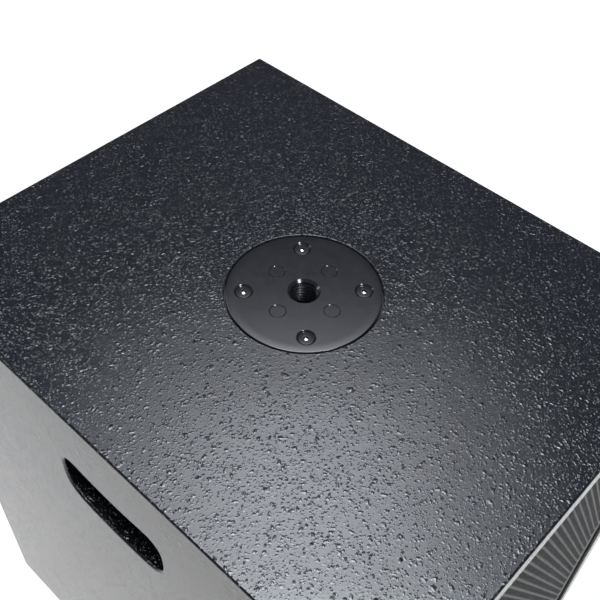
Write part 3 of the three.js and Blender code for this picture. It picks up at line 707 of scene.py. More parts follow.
def coat_skin():
    """The sprayed coat: the outside, both bays, the plate's pocket and the lips of the hand-holds."""
    bay_x, bay_low, bay_high = INNER_X - PLAY, INNER_LOW + PLAY, INNER_HIGH - PLAY
    front_floor, rear_floor = BAFFLE_FACE - SKIN, REAR_FACE + SKIN
    beyond = 5 * MM  # how far a cutter reaches past the face it opens
    window_x, window_end = WINDOW_HALF - PLAY, REAR_FACE - 6 * MM
    window_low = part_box("amp_plate")[0].z + WINDOW_INSET + PLAY
    window_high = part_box("amp_plate")[1].z - WINDOW_INSET - PLAY
    pocket_floor = COAT_HIGH.z - POCKET_DEPTH
    body = carved(
        block(COAT_LOW, COAT_HIGH, EDGE_RADIUS, 5),
        block((-bay_x, COAT_LOW.y - beyond, bay_low), (bay_x, front_floor, bay_high)),
        block((-bay_x, rear_floor, bay_low), (bay_x, COAT_HIGH.y + beyond, bay_high)),
        block((-window_x, window_end, window_low), (window_x, rear_floor + MM, window_high)),
        drum(0, 0, pocket_floor, COAT_HIGH.z + beyond, POCKET_RADIUS, 128, "Z"),
        prism(hand_hold_outline(PLAY), -COAT_HIGH.x - beyond, -INNER_X, "X"),
        prism(hand_hold_outline(PLAY), INNER_X, COAT_HIGH.x + beyond, "X"),
    )
    shape = bmesh.new()
    shape.from_mesh(body)
    bmesh.ops.remove_doubles(shape, verts=shape.verts, dist=1e-6)
    slack = 1e-4

    def near(value, target):
        return abs(value - target) < 1e-5

    def round_rim(test, width, segments):
        edges = [e for e in shape.edges if all(test(v.co) for v in e.verts) and e.calc_face_angle(0) > 1]
        bmesh.ops.bevel(
            shape, geom=edges, offset=width, segments=segments, profile=0.5, affect="EDGES"
        )

    def on_pocket(p):
        return near(p.z, COAT_HIGH.z) and p.xy.length < POCKET_RADIUS + slack

    def on_hand_hold(p):
        return near(abs(p.x), COAT_HIGH.x) and abs(p.y) < HAND_HOLD_HALF + slack

    def on_bay(p):
        across = abs(p.x) < bay_x + slack and bay_low - slack < p.z < bay_high + slack
        return near(abs(p.y), COAT_HIGH.y) and across

    round_rim(on_pocket, 0.5 * MM, 2)
    round_rim(on_hand_hold, 1.8 * MM, 4)
    round_rim(on_bay, 1.6 * MM, 3)
    ends = [
        f
        for f in shape.faces
        if near(f.calc_center_median().y, front_floor)
        or near(f.calc_center_median().y, window_end)
        or all(near(abs(v.co.x), INNER_X) for v in f.verts)
        or all(near(v.co.z, pocket_floor) for v in f.verts)
    ]
    bmesh.ops.delete(shape, geom=ends, context="FACES")
    shape.to_mesh(body)
    shape.free()
    skin = with_modifier(body, "SOLIDIFY", thickness=SKIN, offset=-1, use_even_offset=True)
    piece("structure_coat_skin", skin, structure_paint(), "cabinet", "structure_paint", "structure_coat")


# ---- Pole mount ----

THREAD_PITCH = 2.5 * MM
THREAD_TURNS = 12
ROWS_PER_PITCH = 10
SCREW_CIRCLE = 39.3 * MM
MARK_CIRCLE = 24.6 * MM
DIAGONALS = [math.radians(45 + 90 * i) for i in range(4)]


def pole_plate():
    """The die-cast plate with its boss, screw recesses and round marks, and the thread cut into it."""
    top, back, end = PLATE_HIGH.z, PLATE_HIGH.z - 5 * MM, PLATE_LOW.z
    boss, rim, crown = 16 * MM, 0.7 * MM, 0.14 * MM
    mouth, crest, root = 10.9 * MM, 8.9 * MM, 9.9 * MM
    thread_top, floor = top - 2.1 * MM, top - 36.5 * MM
    count = THREAD_TURNS * ROWS_PER_PITCH

    def thread_row(i):
        height = thread_top - i * THREAD_PITCH / ROWS_PER_PITCH
        fade = min(1, i / ROWS_PER_PITCH, (count - i) / ROWS_PER_PITCH)

        def radius(angle):
            phase = (i / ROWS_PER_PITCH + angle / (2 * math.pi)) % 1
            ridge = min(1, max(0, 1.35 * abs(2 * phase - 1) - 0.15))
            return root - (root - crest) * fade * ridge

        return (radius, height)

    shares = (0.2, 0.4, 0.6, 0.8, 1.0)
    crowned = [(PLATE_RADIUS - rim - 5 * MM * q, top - crown * (1 - q) ** 2) for q in shares]
    profile = (
        [(0, end), (boss - MM, end), (boss, end + MM), (boss, back)]
        + arc((PLATE_RADIUS - 0.4 * MM, back + 0.4 * MM), 0.4 * MM, -90, 0, 3)
        + arc((PLATE_RADIUS - rim, top - rim - crown), rim, 0, 82, 6)
        + crowned
        + [(mouth, top), (crest + 0.3 * MM, top - mouth + crest + 0.3 * MM)]
        + [(root, thread_top), (root, floor), (0, floor)]
    )
    recess = [(0, -6), (3.2, -6), (3.2, -3.2), (5.3, -1.3), (5.55, -0.8), (6.35, 0), (7.35, 1), (0, 1)]
    groove = [(0, -0.05), (4.95, -0.05), (5.1, -0.45), (5.2, -0.45), (5.65, 0), (6.65, 1), (0, 1)]
    places = [(recess, SCREW_CIRCLE, angle) for angle in DIAGONALS]
    places += [(groove, MARK_CIRCLE, math.pi / 2 * i) for i in range(4)]
    cutters = [
        turned(mm(outline, top), 48, (circle * math.cos(angle), circle * math.sin(angle), 0), closed=False)
        for outline, circle, angle in places
    ]
    body = carved(turned(profile, 128, closed=False), *cutters)
    piece("pole_plate_casting", body, cast_satin(), "cabinet", "casting", "pole_mount_plate", angle=28)
    outside = root + 0.05 * MM
    rows = [(outside, thread_top)] + [thread_row(i) for i in range(count + 1)]
    rows.append((outside, thread_top - THREAD_TURNS * THREAD_PITCH))
    thread = turned(rows)
    piece("pole_plate_thread", thread, dull_black("cut_thread"), "cabinet", "casting", "pole_mount_plate")


def hexagon(radius, x, y):
    """A hexagon's corners, turned a little so that the sockets don't line up with the cabinet."""
    angles = [math.pi / 3 * i + 0.3 for i in range(6)]
    return [(x + radius * math.cos(angle), y + radius * math.sin(angle)) for angle in angles]


def plate_screws(look, glint_metal):
    """Countersunk socket screws, each with a dish of bright steel in the bottom of its socket, put there to
    catch a glint: a painted highlight.
    """
    for number in range(1, 5):
        node = f"plate_screw_{number}"
        low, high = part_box(node)
        x, y, _ = centre_of(node)
        top = high.z
        profile = (
            mm([(0, 0), (2.1, 0), (2.6, 0.6)], low.z)
            + mm([(2.6, -2.5), (4.9, -0.7), (5.0, -0.5)], top)
            + arc((4.6 * MM, top - 0.5 * MM), 0.4 * MM, 0, 70, 3)
            + mm([(3.5, 0), (3.2, -0.3), (0, -0.3)], top)
        )
        socket = prism(hexagon(2.0 * MM, x, y), top - 2.2 * MM, top + MM, "Z")
        body = carved(turned(profile, 48, (x, y, 0), closed=False), socket)
        piece(f"plate_screw_{number}_fine", body, look, "cabinet", "black_steel", node)
        # bright steel dish in the socket's bottom: a painted highlight, so that the socket shows a glint
        dish = [(0, -2.3), (1.6, -2.3), (1.6, -1.5)]
        dish += [(1.6 * math.cos(t), -1.4 - 0.7 * math.sin(t)) for t in (0.25, 0.6, 0.95, 1.25)]
        dish.append((0, -2.1))
        glint_dish = turned(mm(dish, top), 32, (x, y, 0), closed=False)
        piece(f"plate_screw_{number}_socket", glint_dish, glint_metal, "cabinet", "zinc_steel", node)


# ---- Pieces refined from the CAD's own meshes ----


def refined(node, look, body, slot, edge, segments=2, angle=40, suffix="fine"):
    """A CAD node's shape with rounded edges, as a piece of its own."""
    mesh = rounded_edges(frame["nodes"][node].data.copy(), edge, segments, angle)
    return piece(f"{node}_{suffix}", mesh, look, body, slot, node)


def paint_panels():
    """The plywood panels stay as the CAD has them; where they show they are painted black."""
    slot_low, slot_high = HAND_HOLD_TOP - HAND_HOLD_HEIGHT - 2 * MM, HAND_HOLD_TOP + 9 * MM
    half, pocket, floor = HAND_HOLD_HALF + MM, POCKET_RADIUS + 1.1 * MM, COAT_HIGH.z - 8 * MM
    boxes = {
        "top_panel": ("ply_top", (-pocket, -pocket, floor), (pocket, pocket, 1)),
        "left_panel": ("ply_left", (-1, -half, slot_low), (0, half, slot_high)),
        "right_panel": ("ply_right", (0, -half, slot_low), (1, half, slot_high)),
        "front_baffle": ("ply_baffle", (-1, -1, -1), (1, BAFFLE_FACE + 2 * MM, 1)),
        "rear_panel": ("ply_rear", (-1, REAR_FACE - 2 * MM, -1), (1, 1, 1)),
    }
    looks = {node: part_painted_ply(*box) for node, box in boxes.items()}
    looks["bottom_panel"] = looks["window_brace"] = part_painted_ply("ply_plain", (2, 2, 2), (3, 3, 3))
    for node, look in looks.items():
        mesh = frame["nodes"][node].data
        mesh.materials.clear()
        mesh.materials.append(look)


def hand_hold_cups(look):
    for side in ("left", "right"):
        refined(f"hand_hold_cup_{side}", look, "cabinet", "black_plastic", 1.5 * MM, 3, 50, "moulding")


# ---- Pan-head screws ----


def pan_screw(head_radius, head_height, shank_radius, length, socket_radius):
    """A hex-socket pan-head screw along +Y: its head's underside is at 0 and its shank runs to +length."""
    top = -head_height
    profile = (
        [(0, length), (shank_radius * 0.7, length), (shank_radius, length - 0.6 * MM), (shank_radius, 0)]
        + [(head_radius - 0.2 * MM, 0), (head_radius, -0.25 * MM)]
        + arc((head_radius - 1.1 * MM, top + 1.1 * MM), 1.1 * MM, 0, -80, 5)
        + [(socket_radius + 0.5 * MM, top), (0, top)]
    )
    body = turned(profile, 40, axis="Y", closed=False)
    tool = prism(hexagon(socket_radius, 0, 0), top - MM, top + 1.5 * MM, "Y")
    return carved(body, tool)


def pan_screws(kind, look, head_radius, head_height, shank_radius, socket_radius, facing):
    """Four screws of a kind, their heads towards facing along Y."""
    for number in range(1, 5):
        node = f"{kind}_screw_{number}"
        low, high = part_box(node)
        length = (high.y - low.y) - head_height
        mesh = pan_screw(head_radius, head_height, shank_radius, length, socket_radius)
        if facing > 0:
            mesh.transform(Matrix.Rotation(math.pi, 4, "Z"))
        seat = low.y + head_height if facing < 0 else high.y - head_height
        mesh.transform(Matrix.Translation(((low.x + high.x) / 2, seat, (low.z + high.z) / 2)))
        piece(f"{node}_fine", mesh, look, "cabinet", "black_steel", node)


# ---- Woofer ----

WOOFER_Z = (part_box("woofer_basket")[0].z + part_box("woofer_basket")[1].z) / 2
WOOFER_AXIS = (0, 0, WOOFER_Z)
FLANGE_BACK = BAFFLE_FACE - 0.3 * MM
WOOFER_SCREW_CIRCLE = 124 * MM
RING_SECTORS = 12


def behind(offset):
    """A place along Y, in millimetres behind the woofer flange's back."""
    return FLANGE_BACK + offset * MM


def around_woofer(profile, steps=96, closed=True):
    """Turns a profile about the woofer's axis; in millimetres, heights behind the flange's back."""
    return turned(mm(profile, FLANGE_BACK), steps, WOOFER_AXIS, "Y", closed)


def woofer_frame(look):
    """The basket: a flange with four screw holes, and a dish with six windows."""
    profile = [(131, 0), (131, -4.4), (130.4, -5), (121, -5), (120, -4.4), (119, -1.6), (111, -1.6), (110, 6)]
    profile += [(78, 54), (76, 67), (32, 67), (32, 69), (78, 69), (80, 54.6), (112.4, 6.6), (113.4, 0)]
    cutters = []
    for i in range(6):
        middle, half = math.pi / 3 * i, 0.36
        arcs = [(125, a) for a in np.linspace(middle - half, middle + half, 10)]
        arcs += [(70, a) for a in np.linspace(middle + half, middle - half, 6)]
        outline = [(r * MM * math.cos(a), WOOFER_Z + r * MM * math.sin(a)) for r, a in arcs]
        cutters.append(prism(outline, behind(13), behind(49), "Y"))
    for angle in DIAGONALS:
        x, z = WOOFER_SCREW_CIRCLE * math.cos(angle), WOOFER_Z + WOOFER_SCREW_CIRCLE * math.sin(angle)
        cutters.append(drum(x, z, behind(-9), behind(3), 2.8 * MM, 24))
    body = rounded_edges(carved(around_woofer(profile), *cutters), 0.4 * MM, 2, 50)
    piece("woofer_basket_fine", body, look, "cabinet", "black_steel", "woofer_basket")


def cone_height(share):
    """How far the cone lies behind the flange's back, in millimetres, at a share of the way out."""
    return 48 - 51 * share**1.15


def sheet_profile(inner, outer, thickness, steps, height):
    """A thin wavy sheet's closed profile from inner to outer radius, in millimetres."""
    half = thickness / 2
    shares = [i / steps for i in range(steps + 1)]
    front = [(inner + (outer - inner) * q, height(q) - half) for q in shares]
    back = [(inner + (outer - inner) * q, height(q) + half) for q in reversed(shares)]
    return front + back


def moving_cone():
    """The ribbed paper cone, its dust cap and the voice coil's former."""
    paper, body = pressed_paper(), "cone_assembly"
    coil, cap, edge = 25.4, 36, 97  # radii in millimetres

    def ribbed(share):
        return cone_height(share) - 0.25 * math.sin(share * 44) * (0.2 < share < 0.9)

    cone = around_woofer(sheet_profile(27, edge, 1, 28, ribbed))
    piece("woofer_cone_paper", cone, paper, body, "cone_paper", "woofer_cone")
    seat = cone_height((cap - coil) / (edge - coil)) - 0.6
    shares = [i / 14 for i in range(15)]
    dome = [(cap * q, seat - 11 * (1 - q * q) - 1) for q in shares]
    dome += [(cap * q, seat - 11 * (1 - q * q)) for q in reversed(shares)]
    cap_mesh = around_woofer(dome, 72, False)
    piece("woofer_dust_cap_paper", cap_mesh, paper, body, "cone_paper", "woofer_dust_cap")
    former = around_woofer([(coil, 44), (25.9, 44), (25.9, 80), (26.2, 80), (26.2, 90), (coil, 90)], 72)
    piece("voice_coil_former_wound", former, treated_cloth(), body, "coil_cloth", "voice_coil_former")


def flexing_ring(name, node, look, inner, outer, thickness, steps, height):
    """A ring between the cone and the frame, made of separate sectors."""
    half = math.pi / RING_SECTORS
    fine = 6
    outline = mm(sheet_profile(inner, outer, thickness, steps, height), FLANGE_BACK)
    n = len(outline)
    faces = [
        [k * n + j, k * n + (j + 1) % n, (k + 1) * n + (j + 1) % n, (k + 1) * n + j]
        for k in range(fine)
        for j in range(n)
    ]
    faces += [list(range(n)), list(range(fine * n, (fine + 1) * n))]
    for i in range(RING_SECTORS):
        middle = 2 * math.pi * i / RING_SECTORS
        points = []
        for k in range(fine + 1):
            angle = middle - half + 2 * half * k / fine
            points += [(r * math.cos(angle), y, WOOFER_Z + r * math.sin(angle)) for r, y in outline]
        sector = object_of(f"{name}_{i + 1:02d}", outward(mesh_of(name, points, faces)))
        sector.data.materials.append(look)
        sector.data.shade_smooth()
        sector.data.set_sharp_from_angle(angle=math.radians(40))
        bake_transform(sector)
        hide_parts(node)


def motor():
    """The magnet between its top plate and its yoke."""
    metal = zinc()
    plate = [(27.6, 69.3), (61.4, 69.3), (62, 69.9), (62, 76.4), (61.4, 77), (27.6, 77)]
    ring = [(32, 77.3), (69, 77.3), (70, 78.3), (70, 97), (69, 98), (32, 98)]
    yoke = [(8, 69.3), (22.8, 69.3), (23.8, 70.3), (23.8, 98.3), (61.4, 98.3)]
    yoke += [(62, 98.9), (62, 105), (60, 107), (9, 107), (8, 106)]
    for node, profile, look, slot in (
        ("woofer_top_plate", plate, metal, "zinc_steel"),
        ("woofer_magnet", ring, ferrite(), "ferrite"),
        ("woofer_yoke", yoke, metal, "zinc_steel"),
    ):
        piece(f"{node}_turned", around_woofer(profile), look, "cabinet", slot, node)


def woofer():
    """The whole driver, its surround and spider in sectors."""
    woofer_frame(powder_coat())
    moving_cone()
    motor()

    def roll(share):
        return -4.4 - 8.5 * math.sqrt(max(0.0, 1 - (2 * share - 1) ** 2))

    def ripple(share):
        return 59 + 1.8 * math.sin(share * math.pi * 8)

    flexing_ring("surround", "woofer_surround", rubber(), 97.3, 117.5, 1, 22, roll)
    flexing_ring("spider", "woofer_spider", treated_cloth(), 26.6, 74.5, 0.7, 40, ripple)


# ---- Reflex ports ----


def ports(look):
    """Two reflex ports with flared mouths."""
    bore, wall, flare = 38 * MM, 2.5 * MM, 8 * MM
    for side in ("left", "right"):
        node = f"port_tube_{side}"
        low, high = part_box(node)
        x, _, z = centre_of(node)
        flange, front, back = (high.x - low.x) / 2, low.y, high.y
        profile = [(bore, back), (bore, front + flare)]
        for a in np.linspace(0.15, math.pi / 2, 9):
            profile.append((bore + flare * (1 - math.cos(a)), front + flare * (1 - math.sin(a))))
        profile += [(flange - 0.8 * MM, front), (flange - 0.25 * MM, front + 0.25 * MM)]
        profile += [(flange, front + 0.8 * MM), (flange, FLANGE_BACK)]
        profile += [(bore + wall, FLANGE_BACK), (bore + wall, back)]
        tube = turned(profile, 80, (x, 0, z), "Y")
        piece(f"{node}_moulding", tube, look, "cabinet", "black_plastic", node)


# ---- Grille ----

GRILLE_LOW, GRILLE_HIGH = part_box("front_grille")
HOLE_PITCH = 6.6 * MM
HOLE_RADIUS = 3.1 * MM  # to a corner of the hexagon
GRILLE_BAND = 9 * MM  # plain border
SHEET = 1.5 * MM


def grille_screw_places():
    """Where the grille's screws are, as x and z."""
    return [centre_of(f"grille_screw_{i}")[::2] for i in range(1, 5)]


def grille_field(look):
    """The perforated face: hexagonal holes in staggered rows, and round holes for the screws."""
    x, low, high = GRILLE_HIGH.x - GRILLE_BAND, GRILLE_LOW.z + GRILLE_BAND, GRILLE_HIGH.z - GRILLE_BAND
    middle = (low + high) / 2
    points = [(-x, low), (x, low), (x, high), (-x, high)]
    edges = [(0, 1), (1, 2), (2, 3), (3, 0)]
    owner = [-1] * 4
    rows = HOLE_PITCH * math.sqrt(3) / 2
    up, along = int((high - low) / 2 / rows), int(x / HOLE_PITCH) + 1
    screws = grille_screw_places()
    holes = [(sx, sz, 2.6 * MM, 16) for sx, sz in screws]
    for row in range(-up, up + 1):
        for k in range(-along, along + 1):
            hx, hz = (k + (row % 2) / 2) * HOLE_PITCH, middle + row * rows
            across = abs(hx) + HOLE_RADIUS < x - 0.6 * MM
            upright = abs(hz - middle) + HOLE_RADIUS < (high - low) / 2
            if across and upright and all(math.hypot(hx - sx, hz - sz) > 9 * MM for sx, sz in screws):
                holes.append((hx, hz, HOLE_RADIUS, 6))
    for number, (hx, hz, radius, sides) in enumerate(holes):
        first = len(points)
        for i in range(sides):
            angle = 2 * math.pi * (i + 0.5) / sides
            points.append((hx + radius * math.cos(angle), hz + radius * math.sin(angle)))
            edges.append((first + i, first + (i + 1) % sides))
            owner.append(number)
    made, _, faces, origins, _, _ = delaunay_2d_cdt([Vector(p) for p in points], edges, [], 1, 1e-7)
    owners = [owner[o[0]] if o else -2 for o in origins]
    solid = [f for f in faces if len({owners[v] for v in f}) > 1 or owners[f[0]] < 0]
    mesh = mesh_of("field", [(p.x, GRILLE_LOW.y, p.y) for p in made], [list(f) for f in solid])
    sheet = with_modifier(mesh, "SOLIDIFY", thickness=SHEET, offset=-1)
    low_y = min(v.co.y for v in sheet.vertices)
    sheet.transform(Matrix.Translation((0, GRILLE_LOW.y - low_y, 0)))
    piece("grille_field", outward(sheet), look, "cabinet", "black_steel", "front_grille", angle=30)


def grille_rim(look):
    """The folded edge round the perforated face."""
    front, back = GRILLE_LOW.y, GRILLE_HIGH.y
    fold = 2.2 * MM
    section = [(GRILLE_BAND, front)]
    section += [
        (fold - fold * math.sin(a), front + fold - fold * math.cos(a)) for a in np.linspace(0, math.pi / 2, 6)
    ]
    section += [(0, back - 0.3 * MM), (0.3 * MM, back), (SHEET - 0.3 * MM, back), (SHEET, back - 0.3 * MM)]
    section += [(SHEET, front + fold), (SHEET + 0.2 * MM, front + SHEET + 0.2 * MM), (fold, front + SHEET)]
    section += [(GRILLE_BAND, front + SHEET)]
    corner, steps = 4 * MM, 6
    half_x, half_z = GRILLE_HIGH.x, (GRILLE_HIGH.z - GRILLE_LOW.z) / 2
    middle = (GRILLE_HIGH.z + GRILLE_LOW.z) / 2
    points, count = [], len(section)
    for quarter, (sx, sz) in enumerate(((1, 1), (-1, 1), (-1, -1), (1, -1))):
        for i in range(steps + 1):
            angle = math.pi / 2 * (quarter + i / steps)
            for inset, y in section:
                reach = max(corner - inset, 0)
                centre_x, centre_z = half_x - max(corner, inset), half_z - max(corner, inset)
                points.append(
                    (
                        sx * centre_x + reach * math.cos(angle),
                        y,
                        middle + sz * centre_z + reach * math.sin(angle),
                    )
                )
    total = 4 * (steps + 1)
    faces = []
    for i in range(total):
        for k in range(count):
            a, b = i * count, (i + 1) % total * count
            faces.append([a + k, a + (k + 1) % count, b + (k + 1) % count, b + k])
    mesh = mesh_of("rim", points, faces)
    piece("grille_rim", outward(mesh), look, "cabinet", "black_steel", "front_grille", angle=30)


def soft_slab(name, node, look, slot, pitch, waviness, keep):
    """A soft sheet with gently uneven faces, cut to where keep(x, z) is true."""
    low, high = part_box(node)
    nx, nz = round((high.x - low.x) / pitch), round((high.z - low.z) / pitch)
    shape = bmesh.new()
    grid = {}

    def corner(i, k):
        if (i, k) not in grid:
            x, z = low.x + (high.x - low.x) * i / nx, low.z + (high.z - low.z) * k / nz
            grid[i, k] = shape.verts.new((x, 0, z))
        return grid[i, k]

    for i in range(nx):
        for k in range(nz):
            x = low.x + (high.x - low.x) * (i + 0.5) / nx
            z = low.z + (high.z - low.z) * (k + 0.5) / nz
            if keep(x, z):
                shape.faces.new((corner(i, k), corner(i + 1, k), corner(i + 1, k + 1), corner(i, k + 1)))
    mesh = bpy.data.meshes.new(name)
    shape.to_mesh(mesh)
    shape.free()
    thick = high.y - low.y
    slab = with_modifier(mesh, "SOLIDIFY", thickness=thick, offset=0, use_even_offset=False)
    middle = (low.y + high.y) / 2
    for v in slab.vertices:
        side = 1 if v.co.y > 0 else -1
        edge = min(v.co.x - low.x, high.x - v.co.x, v.co.z - low.z, high.z - v.co.z)
        drop = waviness * (0.5 + 0.5 * mathutils.noise.noise(v.co * 45 + Vector((side * 9, 0, 0))))
        drop += waviness * 1.5 * max(0.0, 1 - edge / (3 * pitch)) ** 2
        v.co.y = middle + side * (thick / 2 - drop)
    obj = piece(name, outward(slab), look, "cabinet", slot, node, angle=60)


def front():
    """The grille, the foam behind it and the wadding in the cabinet."""
    coat, screws = powder_coat(), grille_screw_places()
    grille_field(coat)
    grille_rim(coat)

    def off_screws(x, z):
        return all(math.hypot(x - px, z - pz) > 6 * MM for px, pz in screws)

    def off_magnet(x, z):
        return not (abs(x) < 0.112 and 0.110 < z < 0.372)

    foam, fluff = open_foam(), fleece()
    soft_slab("grille_foam_sheet", "grille_foam", foam, "foam", 5 * MM, 0.25 * MM, off_screws)
    soft_slab("damping_fleece", "damping_wadding", fluff, "wadding", 8 * MM, 1.6 * MM, off_magnet)


# ---- Amplifier ----

PANEL_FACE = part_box("amp_plate")[1].y


def knob(node, body, look, mark):
    """A fluted knob with a skirt, its shaft and a white pointer line."""
    low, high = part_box(node)
    x, _, z = centre_of(node)
    base, face = PANEL_FACE + 0.8 * MM, high.y

    def fluted(radius):
        return lambda angle: (radius + 0.22 * max(-1, min(1, 2.2 * math.cos(20 * angle)))) * MM

    profile = (
        mm([(0, 0), (2.7, 0), (3, 0.3)], low.y)
        + mm([(3, 0), (8.7, 0), (9, 0.4), (8.9, 1.9), (8.3, 2.5)], base)
        + [(fluted(radius), base + height * MM) for radius, height in ((7.3, 3), (7.2, 6), (6.9, 12.4))]
        + arc((5.9 * MM, face - 1.3 * MM), 0.9 * MM, 0, 90, 5)
        + mm([(5.2, -0.55), (0, -0.45)], face)
    )
    piece(f"{node}_fluted", turned(profile, 160, (x, 0, z), "Y", False), look, body, "black_plastic", node)
    line_low = (x - 0.55 * MM, base + 2.2 * MM, z + 4.2 * MM)
    line_high = (x + 0.55 * MM, face - 0.4 * MM, z + 7.7 * MM)
    line = rounded_edges(block(line_low, line_high), 0.2 * MM)
    piece(f"{node}_pointer", line, mark, body, "light_lens")


def dial_marks(mark):
    """Plain ticks round both knobs, longer at the ends and in the middle, and two printed rings."""
    print_face = PANEL_FACE + 0.01 * MM
    marks = []
    for node in ("gain_knob", "crossover_knob"):
        x, _, z = centre_of(node)
        for i in range(11):
            angle = math.radians(-140 + 28 * i)
            length = 3.0 * MM if i in (0, 5, 10) else 1.8 * MM
            tick = block((-0.3 * MM, 0, 11 * MM), (0.3 * MM, 0.06 * MM, 11 * MM + length))
            tick.transform(Matrix.Translation((x, print_face, z)) @ Matrix.Rotation(angle, 4, "Y"))
            marks.append(tick)
    for node, inner, outer in (("polarity_button", 6.4, 6.9), ("status_light", 4.6, 5.0)):
        x, _, z = centre_of(node)
        ring = mm([(inner, 0), (outer, 0), (outer, 0.06), (inner, 0.06)], print_face)
        marks.append(turned(ring, 48, (x, 0, z), "Y"))
    shape = bmesh.new()
    for mesh in marks:
        shape.from_mesh(mesh)
    mesh = bpy.data.meshes.new("dial_marks")
    shape.to_mesh(mesh)
    shape.free()
    piece("dial_marks", mesh, mark, "cabinet", "light_lens")


def button_and_light(look):
    """The dished polarity button and the domed status light."""
    low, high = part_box("polarity_button")
    x, _, z = centre_of("polarity_button")
    profile = mm([(0, 0), (2.4, 0)], low.y) + mm([(2.4, -2), (4, -2)], PANEL_FACE)
    profile += mm([(3.85, -0.7), (3.6, -0.15), (3.1, 0), (1.6, -0.25), (0, -0.35)], high.y)
    button = turned(profile, 56, (x, 0, z), "Y", False)
    piece("polarity_button_dished", button, look, "polarity_switch", "black_plastic", "polarity_button")
    low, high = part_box("status_light")
    x, _, z = centre_of("status_light")
    radius, seat = 2.4 * MM, PANEL_FACE + 0.3 * MM
    profile = [(0, low.y), (radius, low.y), (radius, seat)]
    for a in np.linspace(0.12, math.pi / 2 - 0.05, 8):
        profile.append((radius * math.cos(a), seat + (high.y - seat) * math.sin(a)))
    dome = turned(profile + [(0, high.y)], 40, (x, 0, z), "Y", False)
    piece("status_light_dome", dome, green_lens(), "cabinet", "light_lens", "status_light")


CONTACT_CIRCLE = 4.2 * MM


def contact_angles():
    """Directions of an XLR socket's three contacts."""
    return [math.pi / 2 + (i + 0.5) * 2 * math.pi / 3 for i in range(3)]


def socket_flange(low, high):
    """A socket's flat flange with round corners."""
    flange = block((low.x, PANEL_FACE + 0.3 * MM, low.z), (high.x, high.y, high.z))
    shape = bmesh.new()
    shape.from_mesh(flange)
    upright = [e for e in shape.edges if abs(e.verts[0].co.y - e.verts[1].co.y) > MM]
    bmesh.ops.bevel(shape, geom=upright, offset=3.5 * MM, segments=5, profile=0.5, affect="EDGES")
    shape.to_mesh(flange)
    shape.free()
    return flange


def xlr_socket(node, look, *cutters):
    """An XLR socket: flange and barrel, opened by the cutters."""
    low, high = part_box(node)
    x, _, z = centre_of(node)
    barrel = drum(x, z, low.y, PANEL_FACE + MM, 12 * MM, 64)
    body = carved(carved(socket_flange(low, high), barrel, operation="UNION"), *cutters)
    piece(f"{node}_moulding", rounded_edges(body, 0.35 * MM, 2, 50), look, "cabinet", "black_plastic", node)


def audio_sockets(look, metal):
    """The input with its contact holes and latch, and the output with its pins."""
    face, clear = PANEL_FACE, PANEL_FACE + 4 * MM
    x, _, z = centre_of("xlr_input")
    groove = mm([(7.6, -12), (9.4, -12), (9.4, 4), (7.6, 4)], face)
    tools = [turned(groove, 64, (x, 0, z), "Y"), drum(x, z, face + 1.6 * MM, clear, 9.4 * MM, 64)]
    for angle in contact_angles():
        hx, hz = x + CONTACT_CIRCLE * math.cos(angle), z + CONTACT_CIRCLE * math.sin(angle)
        tools.append(drum(hx, hz, face - 10 * MM, clear, 1.4 * MM, 24))
    low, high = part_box("xlr_latch")
    slot_low = (low.x - PLAY, low.y - 2 * MM, low.z - PLAY)
    tools.append(block(slot_low, (high.x + PLAY, clear, high.z + PLAY)))
    xlr_socket("xlr_input", look, *tools)
    refined("xlr_latch", metal, "input_release", "zinc_steel", 0.4 * MM, 3)

    x, _, z = centre_of("xlr_output")
    xlr_socket("xlr_output", look, drum(x, z, face - 13 * MM, clear, 9.2 * MM, 64))
    for number, angle in enumerate(contact_angles(), 1):
        px, pz = x - CONTACT_CIRCLE * math.cos(angle), z + CONTACT_CIRCLE * math.sin(angle)
        profile = mm([(0, -14), (1.2, -14), (1.2, -5)], face)
        profile += arc((0.3 * MM, face - 5 * MM), 0.9 * MM, 0, 80, 4) + [(0, face - 4.1 * MM)]
        pin = turned(profile, 28, (px, 0, pz), "Y", False)
        piece(f"xlr_pin_{number}", pin, contact_metal(), "cabinet", "zinc_steel")


def mains_parts(look, metal):
    """The mains inlet with its three pins."""
    low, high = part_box("mains_inlet")
    x, _, z = centre_of("mains_inlet")
    face = PANEL_FACE
    flange = rounded_edges(socket_flange(low, high), 0.5 * MM, 2, 50)
    back = block((x - 14 * MM, low.y, z - 10.5 * MM), (x + 14 * MM, face + MM, z + 10.5 * MM), 0.8 * MM)
    half_x, half_z, cut = 12.2 * MM, 8 * MM, 3.6 * MM
    outline = [(-half_x, half_z), (-half_x, -half_z + cut), (-half_x + cut, -half_z), (half_x - cut, -half_z)]
    outline += [(half_x, -half_z + cut), (half_x, half_z)]
    well = prism([(x + a, z + b) for a, b in outline], face - 14 * MM, high.y + MM, "Y")
    body = carved(carved(flange, back, operation="UNION"), well)
    piece("mains_inlet_moulding", body, look, "cabinet", "black_plastic", "mains_inlet")
    for number, (dx, dz) in enumerate(((-7, -2), (0, 2.5), (7, -2)), 1):
        px, pz = x + dx * MM, z + dz * MM
        pin = block((px - MM, face - 15 * MM, pz - 2 * MM), (px + MM, face - 4 * MM, pz + 2 * MM), 0.4 * MM)
        piece(f"mains_pin_{number}", pin, metal, "cabinet", "zinc_steel")


def transformer():
    """The toroid's winding, an oval tube turned about the transformer's axis."""
    low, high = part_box("toroidal_transformer")
    x, y, z = centre_of("toroidal_transformer")
    tube, tube_y = 19 * MM, (high.y - low.y) / 2
    middle = (high.x - low.x) / 2 - tube
    angles = np.linspace(0, 2 * math.pi, 28, endpoint=False)
    profile = [(middle + tube * math.cos(a), y + tube_y * math.sin(a)) for a in angles]
    ring = turned(profile, 96, (x, 0, z), "Y")
    piece("transformer_winding", ring, winding(), "cabinet", "copper_winding", "toroidal_transformer")


